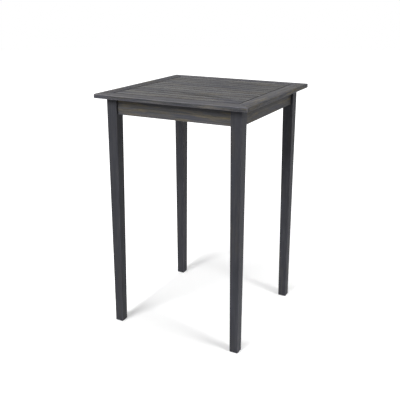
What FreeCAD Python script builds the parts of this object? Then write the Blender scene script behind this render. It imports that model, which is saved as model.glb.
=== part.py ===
"""Square slatted bar table of solid wood, as separate pieces, in millimetres.

The origin is on the ground under the middle of the top. X runs along the front of the table,
which is also the way the slats run, Y runs from the front to the back, and Z points up.
A mitred frame of four rails holds the slats by tongues in grooves. Four aprons stand under
the top between four tapered legs, and a wooden block in each corner draws its leg in with
two bolts. Screws, bolts, washers and inserts are groups of like solids.
"""
import FreeCAD
import Part
import Sketcher
import math
import os

# Counts

SLAT_COUNT = 12
BOLTS_PER_LEG = 2
SCREWS_PER_BLOCK_FACE = 2
CLEAT_SCREW_COUNT = 3

# Sides of what is round: screws and their holes, then bolts and what they pass through

SCREW_SIDES = 6
BOLT_SIDES = 8
BOLT_HEAD_SIDES = 6

# Slats that the cleats hold, counted in slat pitches from the middle of the table

TOP_SCREW_PITCHES = (1.5, 3.5)

# Shares

FOOT_CORNER_SHARE = 0.25
SCREW_TIP_SHARE = 0.2
PAN_CROWN_SHARE = 0.6

# Driving dimensions: name, millimetres, meaning

DRIVING_DIMENSIONS = [
    ("table_width", 700, "top, outside, along X"),
    ("table_depth", 700, "top, outside, along Y"),
    ("table_height", 1060, "ground to top surface"),
    ("top_thickness", 18, "rails and slats"),
    ("rail_width", 62, "mitred rails round the slats"),
    ("rail_upper_radius", 4.5, "upper outer edges of the rails"),
    ("rail_lower_radius", 3, "lower outer edges of the rails"),
    ("inner_edge_radius", 1, "eased inner edges of the rails"),
    ("slat_edge_bevel", 1, "bevelled long edges of a slat"),
    ("slat_gap", 4.5, "open gap beside each slat"),
    ("slat_end_gap", 3, "open gap between a slat's shoulder and the rail"),
    ("tongue_length", 10, "slat tongue beyond the rail's inner edge"),
    ("tongue_thickness", 6, "slat tongue"),
    ("tongue_play", 0.15, "free space on each cheek of a tongue"),
    ("tongue_end_play", 2, "room for the slat to grow in the groove"),
    ("spline_length", 44, "loose spline, along the mitre"),
    ("spline_width", 24, "loose spline, across the mitre"),
    ("spline_thickness", 4, "loose spline"),
    ("spline_play", 0.15, "free space round a spline"),
    ("batten_spacing", 192, "between the centre lines of the two battens"),
    ("batten_width", 45, "batten under the slats"),
    ("batten_thickness", 18, "batten under the slats"),
    ("batten_end_gap", 0.3, "between a batten's end and the apron"),
    ("cleat_size", 20, "square cleat along each side apron"),
    ("cleat_end_gap", 2, "between a cleat's end and the corner block"),
    ("cleat_screw_spacing", 120, "between the screws from cleat to apron"),
    ("under_edge_radius", 1.5, "eased lower edges of aprons, battens and cleats"),
    ("apron_height", 70, "apron, from top to lower edge"),
    ("apron_thickness", 20, "apron"),
    ("apron_recess", 11, "apron face behind the outer face of the legs"),
    ("apron_end_gap", 0.3, "between an apron's end and the leg"),
    ("leg_inset", 40, "edge of the top to the outer face of a leg"),
    ("leg_top_size", 48, "square leg beside the aprons"),
    ("leg_foot_size", 38, "square leg at the ground"),
    ("leg_edge_radius", 2.5, "long edges of a leg"),
    ("leg_foot_chamfer", 2, "bevel round the foot"),
    ("leg_corner_flat", 12, "inner corner of the leg cut off for the block"),
    ("leg_flat_stop", 4, "the cut corner ends this far above the apron's lower edge"),
    ("block_thickness", 25, "corner block, along the bolts"),
    ("block_height", 60, "corner block"),
    ("block_drop", 4, "corner block below the underside of the top"),
    ("block_leg_gap", 1, "draw gap between block and leg"),
    ("block_screw_inset", 15, "block screw from the block's tip, along the apron"),
    ("block_screw_spacing", 40, "between the two screws of one block face"),
    ("block_screw_bite", 8, "wood of the block under a screw head"),
    ("counterbore_diameter", 9, "recess for a block screw's head"),
    ("bolt_diameter", 8, "leg bolt"),
    ("bolt_length", 50, "leg bolt under its head"),
    ("bolt_spacing", 30, "between the two bolts of a leg"),
    ("bolt_head_width", 13, "across the flats"),
    ("bolt_head_height", 5.3, "leg bolt"),
    ("bolt_play", 0.5, "free space round a bolt in the block"),
    ("bolt_insert_play", 0.08, "free space round a bolt in the insert"),
    ("bolt_tip_room", 3, "bore beyond the tip of the bolt"),
    ("washer_diameter", 20, "washer under a bolt head"),
    ("washer_thickness", 1.6, "washer under a bolt head"),
    ("insert_diameter", 12, "threaded insert in the leg"),
    ("insert_length", 18, "threaded insert in the leg"),
    ("insert_sink", 0.5, "insert below the flat of the leg"),
    ("insert_play", 0.05, "free space round an insert"),
    ("screw_diameter", 4, "all wood screws"),
    ("screw_head_diameter", 8, "all wood screws"),
    ("pan_head_height", 2.6, "block screws"),
    ("screw_play", 0.05, "free space round a screw"),
    ("screw_tip_room", 1, "hole beyond the tip of a screw"),
    ("long_screw_length", 30, "countersunk screws of battens and cleats"),
    ("short_screw_length", 20, "pan head screws of the blocks, under the head"),
    ("cut_overrun", 1, "how far a cut runs past the face it opens"),
]

# Derived sizes: name, formula, meaning

DERIVED_SIZES = [
    ("half_width", "dims.table_width / 2", "middle of the table to the side of the top"),
    ("half_depth", "dims.table_depth / 2", "middle of the table to the front of the top"),
    ("top_underside", "dims.table_height - dims.top_thickness", "height of the top's underside"),
    ("apron_underside", "top_underside - dims.apron_height", "height of the aprons' lower edge"),
    ("field_width", "dims.table_width - 2 * dims.rail_width", "slat field between the side rails"),
    ("field_depth", "dims.table_depth - 2 * dims.rail_width", "slat field, front to back"),
    (
        "slat_width",
        f"(field_depth - {SLAT_COUNT + 1} * dims.slat_gap) / {SLAT_COUNT}",
        "one slat, across",
    ),
    ("slat_pitch", "slat_width + dims.slat_gap", "from slat to slat"),
    ("slat_shoulder", "field_width / 2 - dims.slat_end_gap", "middle to a slat's shoulder"),
    ("slat_end", "field_width / 2 + dims.tongue_length", "middle to the tip of a tongue"),
    ("tongue_low", "(dims.top_thickness - dims.tongue_thickness) / 2", "underside to tongue"),
    ("tongue_high", "tongue_low + dims.tongue_thickness", "underside to the top of the tongue"),
    ("groove_low", "tongue_low - dims.tongue_play", "underside to groove"),
    ("groove_high", "tongue_high + dims.tongue_play", "underside to the top of the groove"),
    (
        "groove_floor",
        "dims.rail_width - dims.tongue_length - dims.tongue_end_play",
        "outer edge of a rail to the floor of its groove",
    ),
    ("spline_reach", "dims.spline_length / 2 / sqrt(2)", "half a spline along the mitre, in X"),
    ("spline_depth", "dims.spline_width / 2 / sqrt(2)", "half a spline across the mitre, in X"),
    ("spline_room", "dims.spline_play * sqrt(2)", "play at the ends of a spline, in X"),
    ("apron_setback", "dims.leg_inset + dims.apron_recess", "edge of the top to the apron"),
    ("apron_back", "apron_setback + dims.apron_thickness", "edge of the top to its inner face"),
    ("leg_corner_x", "half_width - dims.leg_inset", "middle to the outer corner of a leg"),
    ("leg_corner_y", "half_depth - dims.leg_inset", "middle to the outer corner of a leg"),
    ("leg_joint", "dims.leg_top_size + dims.apron_end_gap", "leg corner to the apron's end"),
    (
        "front_apron_length",
        "2 * (leg_corner_x - leg_joint)",
        "front and back aprons",
    ),
    (
        "side_apron_length",
        "2 * (leg_corner_y - leg_joint)",
        "left and right aprons",
    ),
    ("apron_face", "dims.apron_recess + dims.apron_thickness", "leg corner to apron inner face"),
    ("flat_sum", "2 * dims.leg_top_size - dims.leg_corner_flat", "x + y on the flat of a leg"),
    ("near_sum", "flat_sum + dims.block_leg_gap * sqrt(2)", "x + y on the block's leg side"),
    ("far_sum", "near_sum + dims.block_thickness * sqrt(2)", "x + y on the block's bolt side"),
    ("seat_sum", "far_sum + dims.washer_thickness * sqrt(2)", "x + y under the bolt heads"),
    ("insert_sum", "flat_sum - dims.insert_sink * sqrt(2)", "x + y on the mouth of an insert"),
    ("block_near", "near_sum - apron_face", "leg corner to the near end of the block's foot"),
    ("block_far", "far_sum - apron_face", "leg corner to the far end of the block's foot"),
    ("block_base", "top_underside - dims.block_drop - dims.block_height", "block, lower face"),
    ("block_screw_place", "block_far - dims.block_screw_inset", "leg corner to a block screw"),
    ("block_screw_seat", "apron_face + dims.block_screw_bite", "leg corner to a screw's seat"),
    (
        "lower_bolt",
        f"(dims.block_height - {BOLTS_PER_LEG - 1} * dims.bolt_spacing) / 2",
        "lower face of the block to its lowest bolt",
    ),
    (
        "lower_screw",
        f"(dims.block_height - {SCREWS_PER_BLOCK_FACE - 1} * dims.block_screw_spacing) / 2",
        "lower face of the block to its lowest screw",
    ),
    (
        "bolt_bore_depth",
        "dims.bolt_length + dims.bolt_tip_room - (seat_sum - flat_sum) / sqrt(2)",
        "bore in the leg, from its flat",
    ),
    ("screw_radius", "dims.screw_diameter / 2", "wood screw shank"),
    ("head_radius", "dims.screw_head_diameter / 2", "wood screw head"),
    ("screw_hole_radius", "screw_radius + dims.screw_play", "hole for a shank"),
    ("head_hole_radius", "head_radius + dims.screw_play", "hole for a head"),
    ("batten_half", "half_depth - apron_back - dims.batten_end_gap", "half a batten, along Y"),
    ("cleat_half", "leg_corner_y - block_far - dims.cleat_end_gap", "half a cleat, along Y"),
    ("cleat_line", "half_width - apron_back - dims.cleat_size / 2", "middle to a cleat's middle"),
    (
        "batten_pilot",
        "dims.long_screw_length - dims.batten_thickness + dims.screw_tip_room",
        "hole in a slat over a batten",
    ),
    (
        "cleat_pilot",
        "dims.long_screw_length - dims.cleat_size + dims.screw_tip_room",
        "hole in a slat or apron beside a cleat",
    ),
    (
        "block_pilot",
        "dims.short_screw_length - dims.block_screw_bite + dims.screw_tip_room",
        "hole in an apron beside a block",
    ),
]

# Corners, as turned about Z from the front left one: name, turn, side in X, side in Y

CORNERS = [
    ("front_left", 0, "-", "-"),
    ("front_right", 90, "", "-"),
    ("back_right", 180, "", ""),
    ("back_left", 270, "-", ""),
]

# Planes across which the front left corner is mirrored for all four corners

FOUR_CORNERS = ("YZ_Plane", "XZ_Plane")

doc = FreeCAD.newDocument("bar_table")
nodes = []


# Sheets


def fill_sheet(name, label, rows):
    """Write rows of name, content and meaning, and give each content cell its name as alias."""
    sheet = doc.addObject("Spreadsheet::Sheet", name)
    sheet.Label = label
    for row, (alias, content, meaning) in enumerate(rows, start=1):
        sheet.set(f"A{row}", alias)
        sheet.set(f"B{row}", str(content))
        sheet.set(f"C{row}", meaning)
        sheet.setAlias(f"B{row}", alias)
    doc.recompute()
    return sheet


# Drawing and shaping helpers


def new_body(label, turn=0, x="0", y="0", z="0", many=False):
    """Start a piece at a place given by formulas, turned about Z by a whole angle."""
    body = doc.addObject("PartDesign::Body", label)
    body.Label = label
    body.AllowCompound = many
    upright = FreeCAD.Vector(0, 0, 1)
    body.Placement = FreeCAD.Placement(FreeCAD.Vector(), FreeCAD.Rotation(upright, turn))
    body.setExpression("Placement.Base.x", x)
    body.setExpression("Placement.Base.y", y)
    body.setExpression("Placement.Base.z", z)
    nodes.append(body)
    return body


def origin_part(body, role):
    """Find one plane or axis of the piece's own origin."""
    return next(item for item in body.Origin.OriginFeatures if item.Role == role)


def new_sketch(body, name, plane, x="0", y="0", z="0", diagonal=False):
    """Lay a sketch parallel to an origin plane, its own origin at the place x, y, z.

    A diagonal sketch is an XZ one turned to face along x = y, away from the leg's corner.
    """
    sketch = body.newObject("Sketcher::SketchObject", f"{body.Name}_{name}")
    sketch.AttachmentSupport = [(origin_part(body, plane), "")]
    sketch.MapMode = "FlatFace"
    if diagonal:
        sideways = FreeCAD.Rotation(FreeCAD.Vector(0, 1, 0), 135)
        sketch.AttachmentOffset = FreeCAD.Placement(FreeCAD.Vector(), sideways)
    along = {
        "XY_Plane": (x, y, z),
        "XZ_Plane": (x, z, f"-({y})"),
        "YZ_Plane": (y, z, x),
    }[plane]
    for axis, formula in zip("xyz", along):
        sketch.setExpression(f"AttachmentOffset.Base.{axis}", formula)
    return sketch


def number(sketch, formula):
    """Work a formula out, for the place where a line or circle is first drawn."""
    return float(sketch.evalExpression(formula))


def hold_point(sketch, item, point, x, y):
    """Tie a point of the sketch to its origin by two formulas."""
    for kind, formula in (("DistanceX", x), ("DistanceY", y)):
        rule = Sketcher.Constraint(kind, -1, 1, item, point, number(sketch, formula))
        index = sketch.addConstraint(rule)
        sketch.setExpression(f"Constraints[{index}]", formula)


def draw_outline(sketch, corners):
    """Draw a closed outline of straight lines through corners given as pairs of formulas."""
    places = [FreeCAD.Vector(number(sketch, x), number(sketch, y), 0) for x, y in corners]
    lines = []
    for start, end in zip(places, places[1:] + places[:1]):
        lines.append(sketch.addGeometry(Part.LineSegment(start, end), False))
    for line, following in zip(lines, lines[1:] + lines[:1]):
        sketch.addConstraint(Sketcher.Constraint("Coincident", line, 2, following, 1))
    for line, (x, y) in zip(lines, corners):
        hold_point(sketch, line, 1, x, y)


def draw_ring(sketch, x, y, radius, sides):
    """Draw a regular outline of some sides round a centre; its radius is measured to the flats."""
    corner = f"{radius} / cos({180 / sides} deg)"
    centre = FreeCAD.Vector(number(sketch, x), number(sketch, y), 0)
    reach = number(sketch, corner)
    circle = Part.Circle(centre, FreeCAD.Vector(0, 0, 1), reach)
    guide = sketch.addGeometry(circle, True)
    hold_point(sketch, guide, 3, x, y)
    index = sketch.addConstraint(Sketcher.Constraint("Radius", guide, reach))
    sketch.setExpression(f"Constraints[{index}]", corner)
    turns = [math.radians((step + 0.5) * 360 / sides) for step in range(sides)]
    places = [centre + FreeCAD.Vector(math.cos(t), math.sin(t), 0) * reach for t in turns]
    lines = []
    for start, end in zip(places, places[1:] + places[:1]):
        lines.append(sketch.addGeometry(Part.LineSegment(start, end), False))
    for line, following in zip(lines, lines[1:] + lines[:1]):
        sketch.addConstraint(Sketcher.Constraint("Coincident", line, 2, following, 1))
        sketch.addConstraint(Sketcher.Constraint("PointOnObject", line, 1, guide))
    for line in lines[1:]:
        sketch.addConstraint(Sketcher.Constraint("Equal", lines[0], line))
    sketch.addConstraint(Sketcher.Constraint("Vertical", lines[-1]))


def draw_section(sketch, corners):
    """Draw a closed outline of square corners, anticlockwise.

    A corner is a pair of formulas, with a third one for its radius where it is rounded.
    """
    places = [FreeCAD.Vector(number(sketch, c[0]), number(sketch, c[1]), 0) for c in corners]
    starts = []
    ends = []
    for index, corner in enumerate(corners):
        x, y = corner[:2]
        radius = corner[2] if len(corner) > 2 else "0"
        into = (places[index] - places[index - 1]).normalize()
        away = (places[(index + 1) % len(corners)] - places[index]).normalize()
        ends.append((f"{x} - {round(into.x)} * {radius}", f"{y} - {round(into.y)} * {radius}"))
        starts.append((f"{x} + {round(away.x)} * {radius}", f"{y} + {round(away.y)} * {radius}"))
    lines = []
    for start, end in zip(starts, ends[1:] + ends[:1]):
        first = FreeCAD.Vector(number(sketch, start[0]), number(sketch, start[1]), 0)
        last = FreeCAD.Vector(number(sketch, end[0]), number(sketch, end[1]), 0)
        line = sketch.addGeometry(Part.LineSegment(first, last), False)
        hold_point(sketch, line, 1, *start)
        lines.append((line, first, last, end))
    for index, corner in enumerate(corners):
        line_in, _, enter, end = lines[index - 1]
        line_out, leave, _, _ = lines[index]
        if len(corner) == 2:
            sketch.addConstraint(Sketcher.Constraint("Coincident", line_in, 2, line_out, 1))
            continue
        hold_point(sketch, line_in, 2, *end)
        centre = enter + leave - places[index]
        circle = Part.Circle(centre, FreeCAD.Vector(0, 0, 1), (enter - centre).Length)
        opening = math.atan2(enter.y - centre.y, enter.x - centre.x)
        closing = math.atan2(leave.y - centre.y, leave.x - centre.x)
        arc = sketch.addGeometry(Part.ArcOfCircle(circle, opening, closing), False)
        sketch.addConstraint(Sketcher.Constraint("Tangent", line_in, 2, arc, 1))
        sketch.addConstraint(Sketcher.Constraint("Coincident", arc, 2, line_out, 1))


def pad(body, sketch, length, both_ways=False, backwards=False):
    """Raise the sketch into a solid of a length given by a formula."""
    feature = body.newObject("PartDesign::Pad", f"{sketch.Name}_pad")
    feature.Profile = sketch
    feature.setExpression("Length", length)
    feature.SideType = "Symmetric" if both_ways else "One side"
    feature.Reversed = backwards
    return feature


def pocket(body, sketch, depth="", both_ways=False, backwards=False):
    """Cut the sketch away to a depth given by a formula, or right through without one."""
    feature = body.newObject("PartDesign::Pocket", f"{sketch.Name}_pocket")
    feature.Profile = sketch
    feature.SideType = "Symmetric" if both_ways else "One side"
    feature.Reversed = backwards
    if depth:
        feature.setExpression("Length", depth)
    else:
        feature.Type = "ThroughAll"
    return feature


def loft_rings(body, name, plane, place, stations, sides=SCREW_SIDES, away="", cut=False):
    """Loft a many-sided rod, or cut a many-sided hole, square to an origin plane.

    A station is a way along the axis and a radius there. The way starts at the place, and runs
    backwards where away is a minus sign.
    """
    axis = {"XY_Plane": 2, "XZ_Plane": 1, "YZ_Plane": 0}[plane]
    sketches = []
    for step, (along, radius) in enumerate(stations):
        spot = list(place)
        spot[axis] = f"({place[axis]}) + ({away}1) * ({along})"
        sketch = new_sketch(body, f"{name}_{step}", plane, *spot)
        draw_ring(sketch, "0", "0", radius, sides)
        sketches.append(sketch)
    kind = "SubtractiveLoft" if cut else "AdditiveLoft"
    return loft(body, name, sketches, kind)


def loft(body, name, sketches, kind="AdditiveLoft"):
    """Join sketches by straight faces, to add to the piece or to cut from it."""
    feature = body.newObject(f"PartDesign::{kind}", f"{body.Name}_{name}_loft")
    feature.Profile = sketches[0]
    feature.Sections = sketches[1:]
    feature.Ruled = True
    return feature


def repeat(body, originals, rows=(), mirrors=()):
    """Repeat features in rows, each an axis, a count and a spacing, and across origin planes."""
    group = body.newObject("PartDesign::MultiTransform", f"{originals[-1].Name}_repeat")
    group.Originals = originals
    steps = []
    for axis, count, spacing in rows:
        row = body.newObject("PartDesign::LinearPattern", f"{group.Name}_row")
        row.Direction = (origin_part(body, axis), [""])
        row.Occurrences = count
        row.setExpression("Length", f"{count - 1} * {spacing}")
        steps.append(row)
    for plane in mirrors:
        mirror = body.newObject("PartDesign::Mirrored", f"{group.Name}_mirror")
        mirror.MirrorPlane = (origin_part(body, plane), [""])
        steps.append(mirror)
    group.Transformations = steps
    body.Tip = group
    return group


def countersunk_screw(body, name, plane, place, away=""):
    """One countersunk screw, its head face at the place."""
    stations = [
        ("0", "fits.head_radius"),
        ("fits.head_radius - fits.screw_radius", "fits.screw_radius"),
        ("dims.long_screw_length - fits.screw_radius", "fits.screw_radius"),
        ("dims.long_screw_length", f"{SCREW_TIP_SHARE} * fits.screw_radius"),
    ]
    return loft_rings(body, name, plane, place, stations, away=away)


def countersunk_hole(body, name, plane, place, depth, away=""):
    """One countersunk hole through a piece of the given depth, its wide mouth at the place."""
    stations = [
        ("-dims.cut_overrun", "fits.head_hole_radius"),
        ("0", "fits.head_hole_radius"),
        ("fits.head_radius - fits.screw_radius", "fits.screw_hole_radius"),
        (f"{depth} + dims.cut_overrun", "fits.screw_hole_radius"),
    ]
    return loft_rings(body, name, plane, place, stations, away=away, cut=True)


# Pieces of the top


def rail(label, turn, length, x, y, grooved):
    """One mitred rail, modelled with its outer edge on the X axis and turned into its place."""
    body = new_body(label, turn, x, y, "fits.top_underside")
    section = new_sketch(body, "section", "YZ_Plane")
    groove = [
        ("dims.rail_width", "fits.groove_low"),
        ("fits.groove_floor", "fits.groove_low"),
        ("fits.groove_floor", "fits.groove_high"),
        ("dims.rail_width", "fits.groove_high"),
    ]
    corners = [
        ("0", "0", "dims.rail_lower_radius"),
        ("dims.rail_width", "0", "dims.inner_edge_radius"),
        *(groove if grooved else []),
        ("dims.rail_width", "dims.top_thickness", "dims.inner_edge_radius"),
        ("0", "dims.top_thickness", "dims.rail_upper_radius"),
    ]
    draw_section(section, corners)
    pad(body, section, length, both_ways=True)
    cut_mitres(body, length)
    cut_spline_slots(body, length)


def cut_mitres(body, length):
    """Cut both ends of a rail at 45 degrees."""
    sketch = new_sketch(body, "mitres", "XY_Plane")
    for side in ("", "-"):
        beyond = f"{side}({length} / 2 + dims.cut_overrun)"
        within = f"{side}({length} / 2 - dims.rail_width - dims.cut_overrun)"
        far_edge = "dims.rail_width + dims.cut_overrun"
        draw_outline(sketch, [(beyond, "-dims.cut_overrun"), (beyond, far_edge), (within, far_edge)])
    pocket(body, sketch, both_ways=True)


def cut_spline_slots(body, length):
    """Cut a stopped slot for a loose spline into the middle of each mitre."""
    sketch = new_sketch(body, "slots", "XY_Plane", z="dims.top_thickness / 2")
    along = "(fits.spline_reach + fits.spline_room)"
    deep = "(fits.spline_depth + fits.spline_room)"
    out = "dims.cut_overrun"
    for side in ("", "-"):
        middle = f"({length} / 2 - dims.rail_width / 2)"
        corners = [
            (f"{side}({middle} + {along} + {out})", f"dims.rail_width / 2 - {along} + {out}"),
            (f"{side}({middle} - {along} + {out})", f"dims.rail_width / 2 + {along} + {out}"),
            (f"{side}({middle} - {along} - {deep})", f"dims.rail_width / 2 + {along} - {deep}"),
            (f"{side}({middle} + {along} - {deep})", f"dims.rail_width / 2 - {along} - {deep}"),
        ]
        draw_outline(sketch, corners)
    pocket(body, sketch, "dims.spline_thickness + 2 * dims.spline_play", both_ways=True)


def corner_splines():
    """Four loose splines, one across each mitre."""
    body = new_body("corner_splines", many=True)
    middle_height = "fits.top_underside + dims.top_thickness / 2"
    sketch = new_sketch(body, "outline", "XY_Plane", z=middle_height)
    x = "(dims.rail_width / 2 - fits.half_width)"
    y = "(dims.rail_width / 2 - fits.half_depth)"
    corners = [
        (f"{x} - fits.spline_reach - fits.spline_depth", f"{y} - fits.spline_reach + fits.spline_depth"),
        (f"{x} - fits.spline_reach + fits.spline_depth", f"{y} - fits.spline_reach - fits.spline_depth"),
        (f"{x} + fits.spline_reach + fits.spline_depth", f"{y} + fits.spline_reach - fits.spline_depth"),
        (f"{x} + fits.spline_reach - fits.spline_depth", f"{y} + fits.spline_reach + fits.spline_depth"),
    ]
    draw_outline(sketch, corners)
    solid = pad(body, sketch, "dims.spline_thickness", both_ways=True)
    repeat(body, [solid], mirrors=FOUR_CORNERS)


def slat(number_along):
    """One slat with a tongue at each end and holes in its underside for the screws."""
    pitches = number_along - (SLAT_COUNT + 1) / 2
    body = new_body(
        f"slat_{number_along:02d}", y=f"{pitches} * fits.slat_pitch", z="fits.top_underside"
    )
    section = new_sketch(body, "section", "YZ_Plane")
    wide = "fits.slat_width / 2"
    inner = "(fits.slat_width / 2 - dims.slat_edge_bevel)"
    low = "dims.slat_edge_bevel"
    high = "dims.top_thickness - dims.slat_edge_bevel"
    top = "dims.top_thickness"
    corners = [
        (f"-{inner}", "0"), (inner, "0"), (wide, low), (wide, high),
        (inner, top), (f"-{inner}", top), (f"-{wide}", high), (f"-{wide}", low),
    ]
    draw_outline(section, corners)
    pad(body, section, "2 * fits.slat_end", both_ways=True)
    cut_cheeks(body)
    places = ["dims.batten_spacing / 2"]
    depths = ["fits.batten_pilot"]
    if abs(pitches) in TOP_SCREW_PITCHES:
        places.append("fits.cleat_line")
        depths.append("fits.cleat_pilot")
    for index, (place, depth) in enumerate(zip(places, depths)):
        holes = new_sketch(body, f"pilots_{index}", "XY_Plane")
        for side in ("", "-"):
            draw_ring(holes, f"{side}{place}", "0", "fits.screw_hole_radius", SCREW_SIDES)
        pocket(body, holes, depth, backwards=True)


def cut_cheeks(body):
    """Cut a slat's ends down to their tongues, above and below."""
    sketch = new_sketch(body, "cheeks", "XZ_Plane")
    beyond = "(fits.slat_end + dims.cut_overrun)"
    for side in ("", "-"):
        near = f"{side}fits.slat_shoulder"
        far = f"{side}{beyond}"
        for low, high in (
            ("-dims.cut_overrun", "fits.tongue_low"),
            ("fits.tongue_high", "dims.top_thickness + dims.cut_overrun"),
        ):
            draw_outline(sketch, [(near, low), (far, low), (far, high), (near, high)])
    pocket(body, sketch, both_ways=True)


def batten(label, side):
    """One batten across the undersides of the slats, with a screw hole under each slat."""
    body = new_body(
        label, x=f"{side}dims.batten_spacing / 2", z="fits.top_underside - dims.batten_thickness"
    )
    section = new_sketch(body, "section", "XZ_Plane")
    half = "dims.batten_width / 2"
    corners = [
        (f"-{half}", "0", "dims.under_edge_radius"),
        (half, "0", "dims.under_edge_radius"),
        (half, "dims.batten_thickness"),
        (f"-{half}", "dims.batten_thickness"),
    ]
    draw_section(section, corners)
    pad(body, section, "2 * fits.batten_half", both_ways=True)
    place = ("0", f"-{(SLAT_COUNT - 1) / 2} * fits.slat_pitch", "0")
    hole = countersunk_hole(body, "hole", "XY_Plane", place, "dims.batten_thickness")
    repeat(body, [hole], rows=[("Y_Axis", SLAT_COUNT, "fits.slat_pitch")])


def cleat(label, turn, side):
    """One square cleat that holds the slats down to a side apron, modelled for the left side."""
    body = new_body(
        label, turn, x=f"{side}(fits.half_width - fits.apron_back)",
        z="fits.top_underside - dims.cleat_size",
    )
    section = new_sketch(body, "section", "XZ_Plane")
    corners = [
        ("0", "0"),
        ("dims.cleat_size", "0", "dims.under_edge_radius"),
        ("dims.cleat_size", "dims.cleat_size"),
        ("0", "dims.cleat_size"),
    ]
    draw_section(section, corners)
    pad(body, section, "2 * fits.cleat_half", both_ways=True)
    middle = "dims.cleat_size / 2"
    first = f"-{(CLEAT_SCREW_COUNT - 1) / 2} * dims.cleat_screw_spacing"
    place = ("dims.cleat_size", first, middle)
    level = countersunk_hole(body, "level", "YZ_Plane", place, "dims.cleat_size", away="-")
    repeat(body, [level], rows=[("Y_Axis", CLEAT_SCREW_COUNT, "dims.cleat_screw_spacing")])
    near, far = TOP_SCREW_PITCHES
    place = (middle, f"{near} * fits.slat_pitch", "0")
    upright = countersunk_hole(body, "upright", "XY_Plane", place, "dims.cleat_size")
    rows = [("Y_Axis", 2, f"{far - near} * fits.slat_pitch")]
    repeat(body, [upright], rows=rows, mirrors=("XZ_Plane",))


# Pieces of the base


def apron(label, turn, x, y, length, corner, cleated):
    """One apron, modelled with its outer face on the XZ plane and turned into its place."""
    body = new_body(label, turn, x, y, "fits.apron_underside")
    section = new_sketch(body, "section", "YZ_Plane")
    corners = [
        ("0", "0", "dims.under_edge_radius"),
        ("dims.apron_thickness", "0", "dims.under_edge_radius"),
        ("dims.apron_thickness", "dims.apron_height"),
        ("0", "dims.apron_height"),
    ]
    draw_section(section, corners)
    pad(body, section, length, both_ways=True)
    pilots = new_sketch(body, "block_pilots", "XZ_Plane", y="dims.apron_thickness")
    lowest = "fits.block_base - fits.apron_underside + fits.lower_screw"
    for side in ("", "-"):
        for step in range(SCREWS_PER_BLOCK_FACE):
            place = f"{side}({corner} - fits.block_screw_place)"
            level = f"{lowest} + {step} * dims.block_screw_spacing"
            draw_ring(pilots, place, level, "fits.screw_hole_radius", SCREW_SIDES)
    pocket(body, pilots, "fits.block_pilot", backwards=True)
    if cleated:
        pilots = new_sketch(body, "cleat_pilots", "XZ_Plane", y="dims.apron_thickness")
        for step in range(CLEAT_SCREW_COUNT):
            place = f"{step - (CLEAT_SCREW_COUNT - 1) / 2} * dims.cleat_screw_spacing"
            level = "dims.apron_height - dims.cleat_size / 2"
            draw_ring(pilots, place, level, "fits.screw_hole_radius", SCREW_SIDES)
        pocket(body, pilots, "fits.cleat_pilot", backwards=True)


def leg(name, turn, side_x, side_y):
    """One leg: its two outer faces are upright and its two inner faces taper to the foot."""
    body = new_body(
        f"leg_{name}", turn, f"{side_x}fits.leg_corner_x", f"{side_y}fits.leg_corner_y"
    )
    bevel = "dims.leg_foot_chamfer"
    radius = "dims.leg_edge_radius"
    stations = [
        ("tip", "0", bevel, f"(dims.leg_foot_size - {bevel})", f"{FOOT_CORNER_SHARE} * {radius}"),
        ("foot", bevel, "0", "dims.leg_foot_size", radius),
        ("shoulder", "fits.apron_underside", "0", "dims.leg_top_size", radius),
        ("head", "fits.top_underside", "0", "dims.leg_top_size", radius),
    ]
    sections = []
    for station, height, low, high, rounding in stations:
        sketch = new_sketch(body, station, "XY_Plane", z=height)
        square = [(low, low), (high, low), (high, high), (low, high)]
        draw_section(sketch, [(*corner, rounding) for corner in square])
        sections.append(sketch)
    loft(body, "taper", sections)
    cut_leg_flat(body)
    cut_leg_bores(body)


def cut_leg_flat(body):
    """Cut the leg's inner corner off beside the block, down to a stop above the apron's edge."""
    sketch = new_sketch(body, "flat", "XY_Plane", z="fits.top_underside")
    beyond = "dims.leg_top_size + dims.cut_overrun"
    within = "dims.leg_top_size - dims.leg_corner_flat - dims.cut_overrun"
    draw_outline(sketch, [(beyond, within), (beyond, beyond), (within, beyond)])
    pocket(body, sketch, "dims.apron_height - dims.leg_flat_stop")


def cut_leg_bores(body):
    """Bore the flat for the threaded inserts and the tips of the bolts."""
    place = "fits.flat_sum / 2"
    lowest = "fits.block_base + fits.lower_bolt"
    sketch = new_sketch(body, "bores", "XZ_Plane", place, place, lowest, diagonal=True)
    for step in range(BOLTS_PER_LEG):
        radius = "(dims.insert_diameter / 2 + dims.insert_play)"
        draw_ring(sketch, "0", f"{step} * dims.bolt_spacing", radius, BOLT_SIDES)
    pocket(body, sketch, "fits.bolt_bore_depth")


def corner_block(name, turn, side_x, side_y):
    """One block across a corner, drilled for the leg's bolts and for screws into both aprons."""
    body = new_body(
        f"block_{name}", turn, f"{side_x}fits.leg_corner_x", f"{side_y}fits.leg_corner_y",
        "fits.block_base",
    )
    plan = new_sketch(body, "plan", "XY_Plane")
    corners = [
        ("fits.block_near", "fits.apron_face"),
        ("fits.block_far", "fits.apron_face"),
        ("fits.apron_face", "fits.block_far"),
        ("fits.apron_face", "fits.block_near"),
    ]
    draw_outline(plan, corners)
    pad(body, plan, "dims.block_height")
    place = "fits.far_sum / 2"
    bolts = new_sketch(body, "bolts", "XZ_Plane", place, place, "fits.lower_bolt", diagonal=True)
    for step in range(BOLTS_PER_LEG):
        radius = "(dims.bolt_diameter / 2 + dims.bolt_play)"
        draw_ring(bolts, "0", f"{step} * dims.bolt_spacing", radius, BOLT_SIDES)
    pocket(body, bolts)
    cut_block_screws(body, "front", "XZ_Plane", y="fits.block_far", backwards=True)
    cut_block_screws(body, "side", "YZ_Plane", x="fits.block_far", backwards=False)


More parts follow.
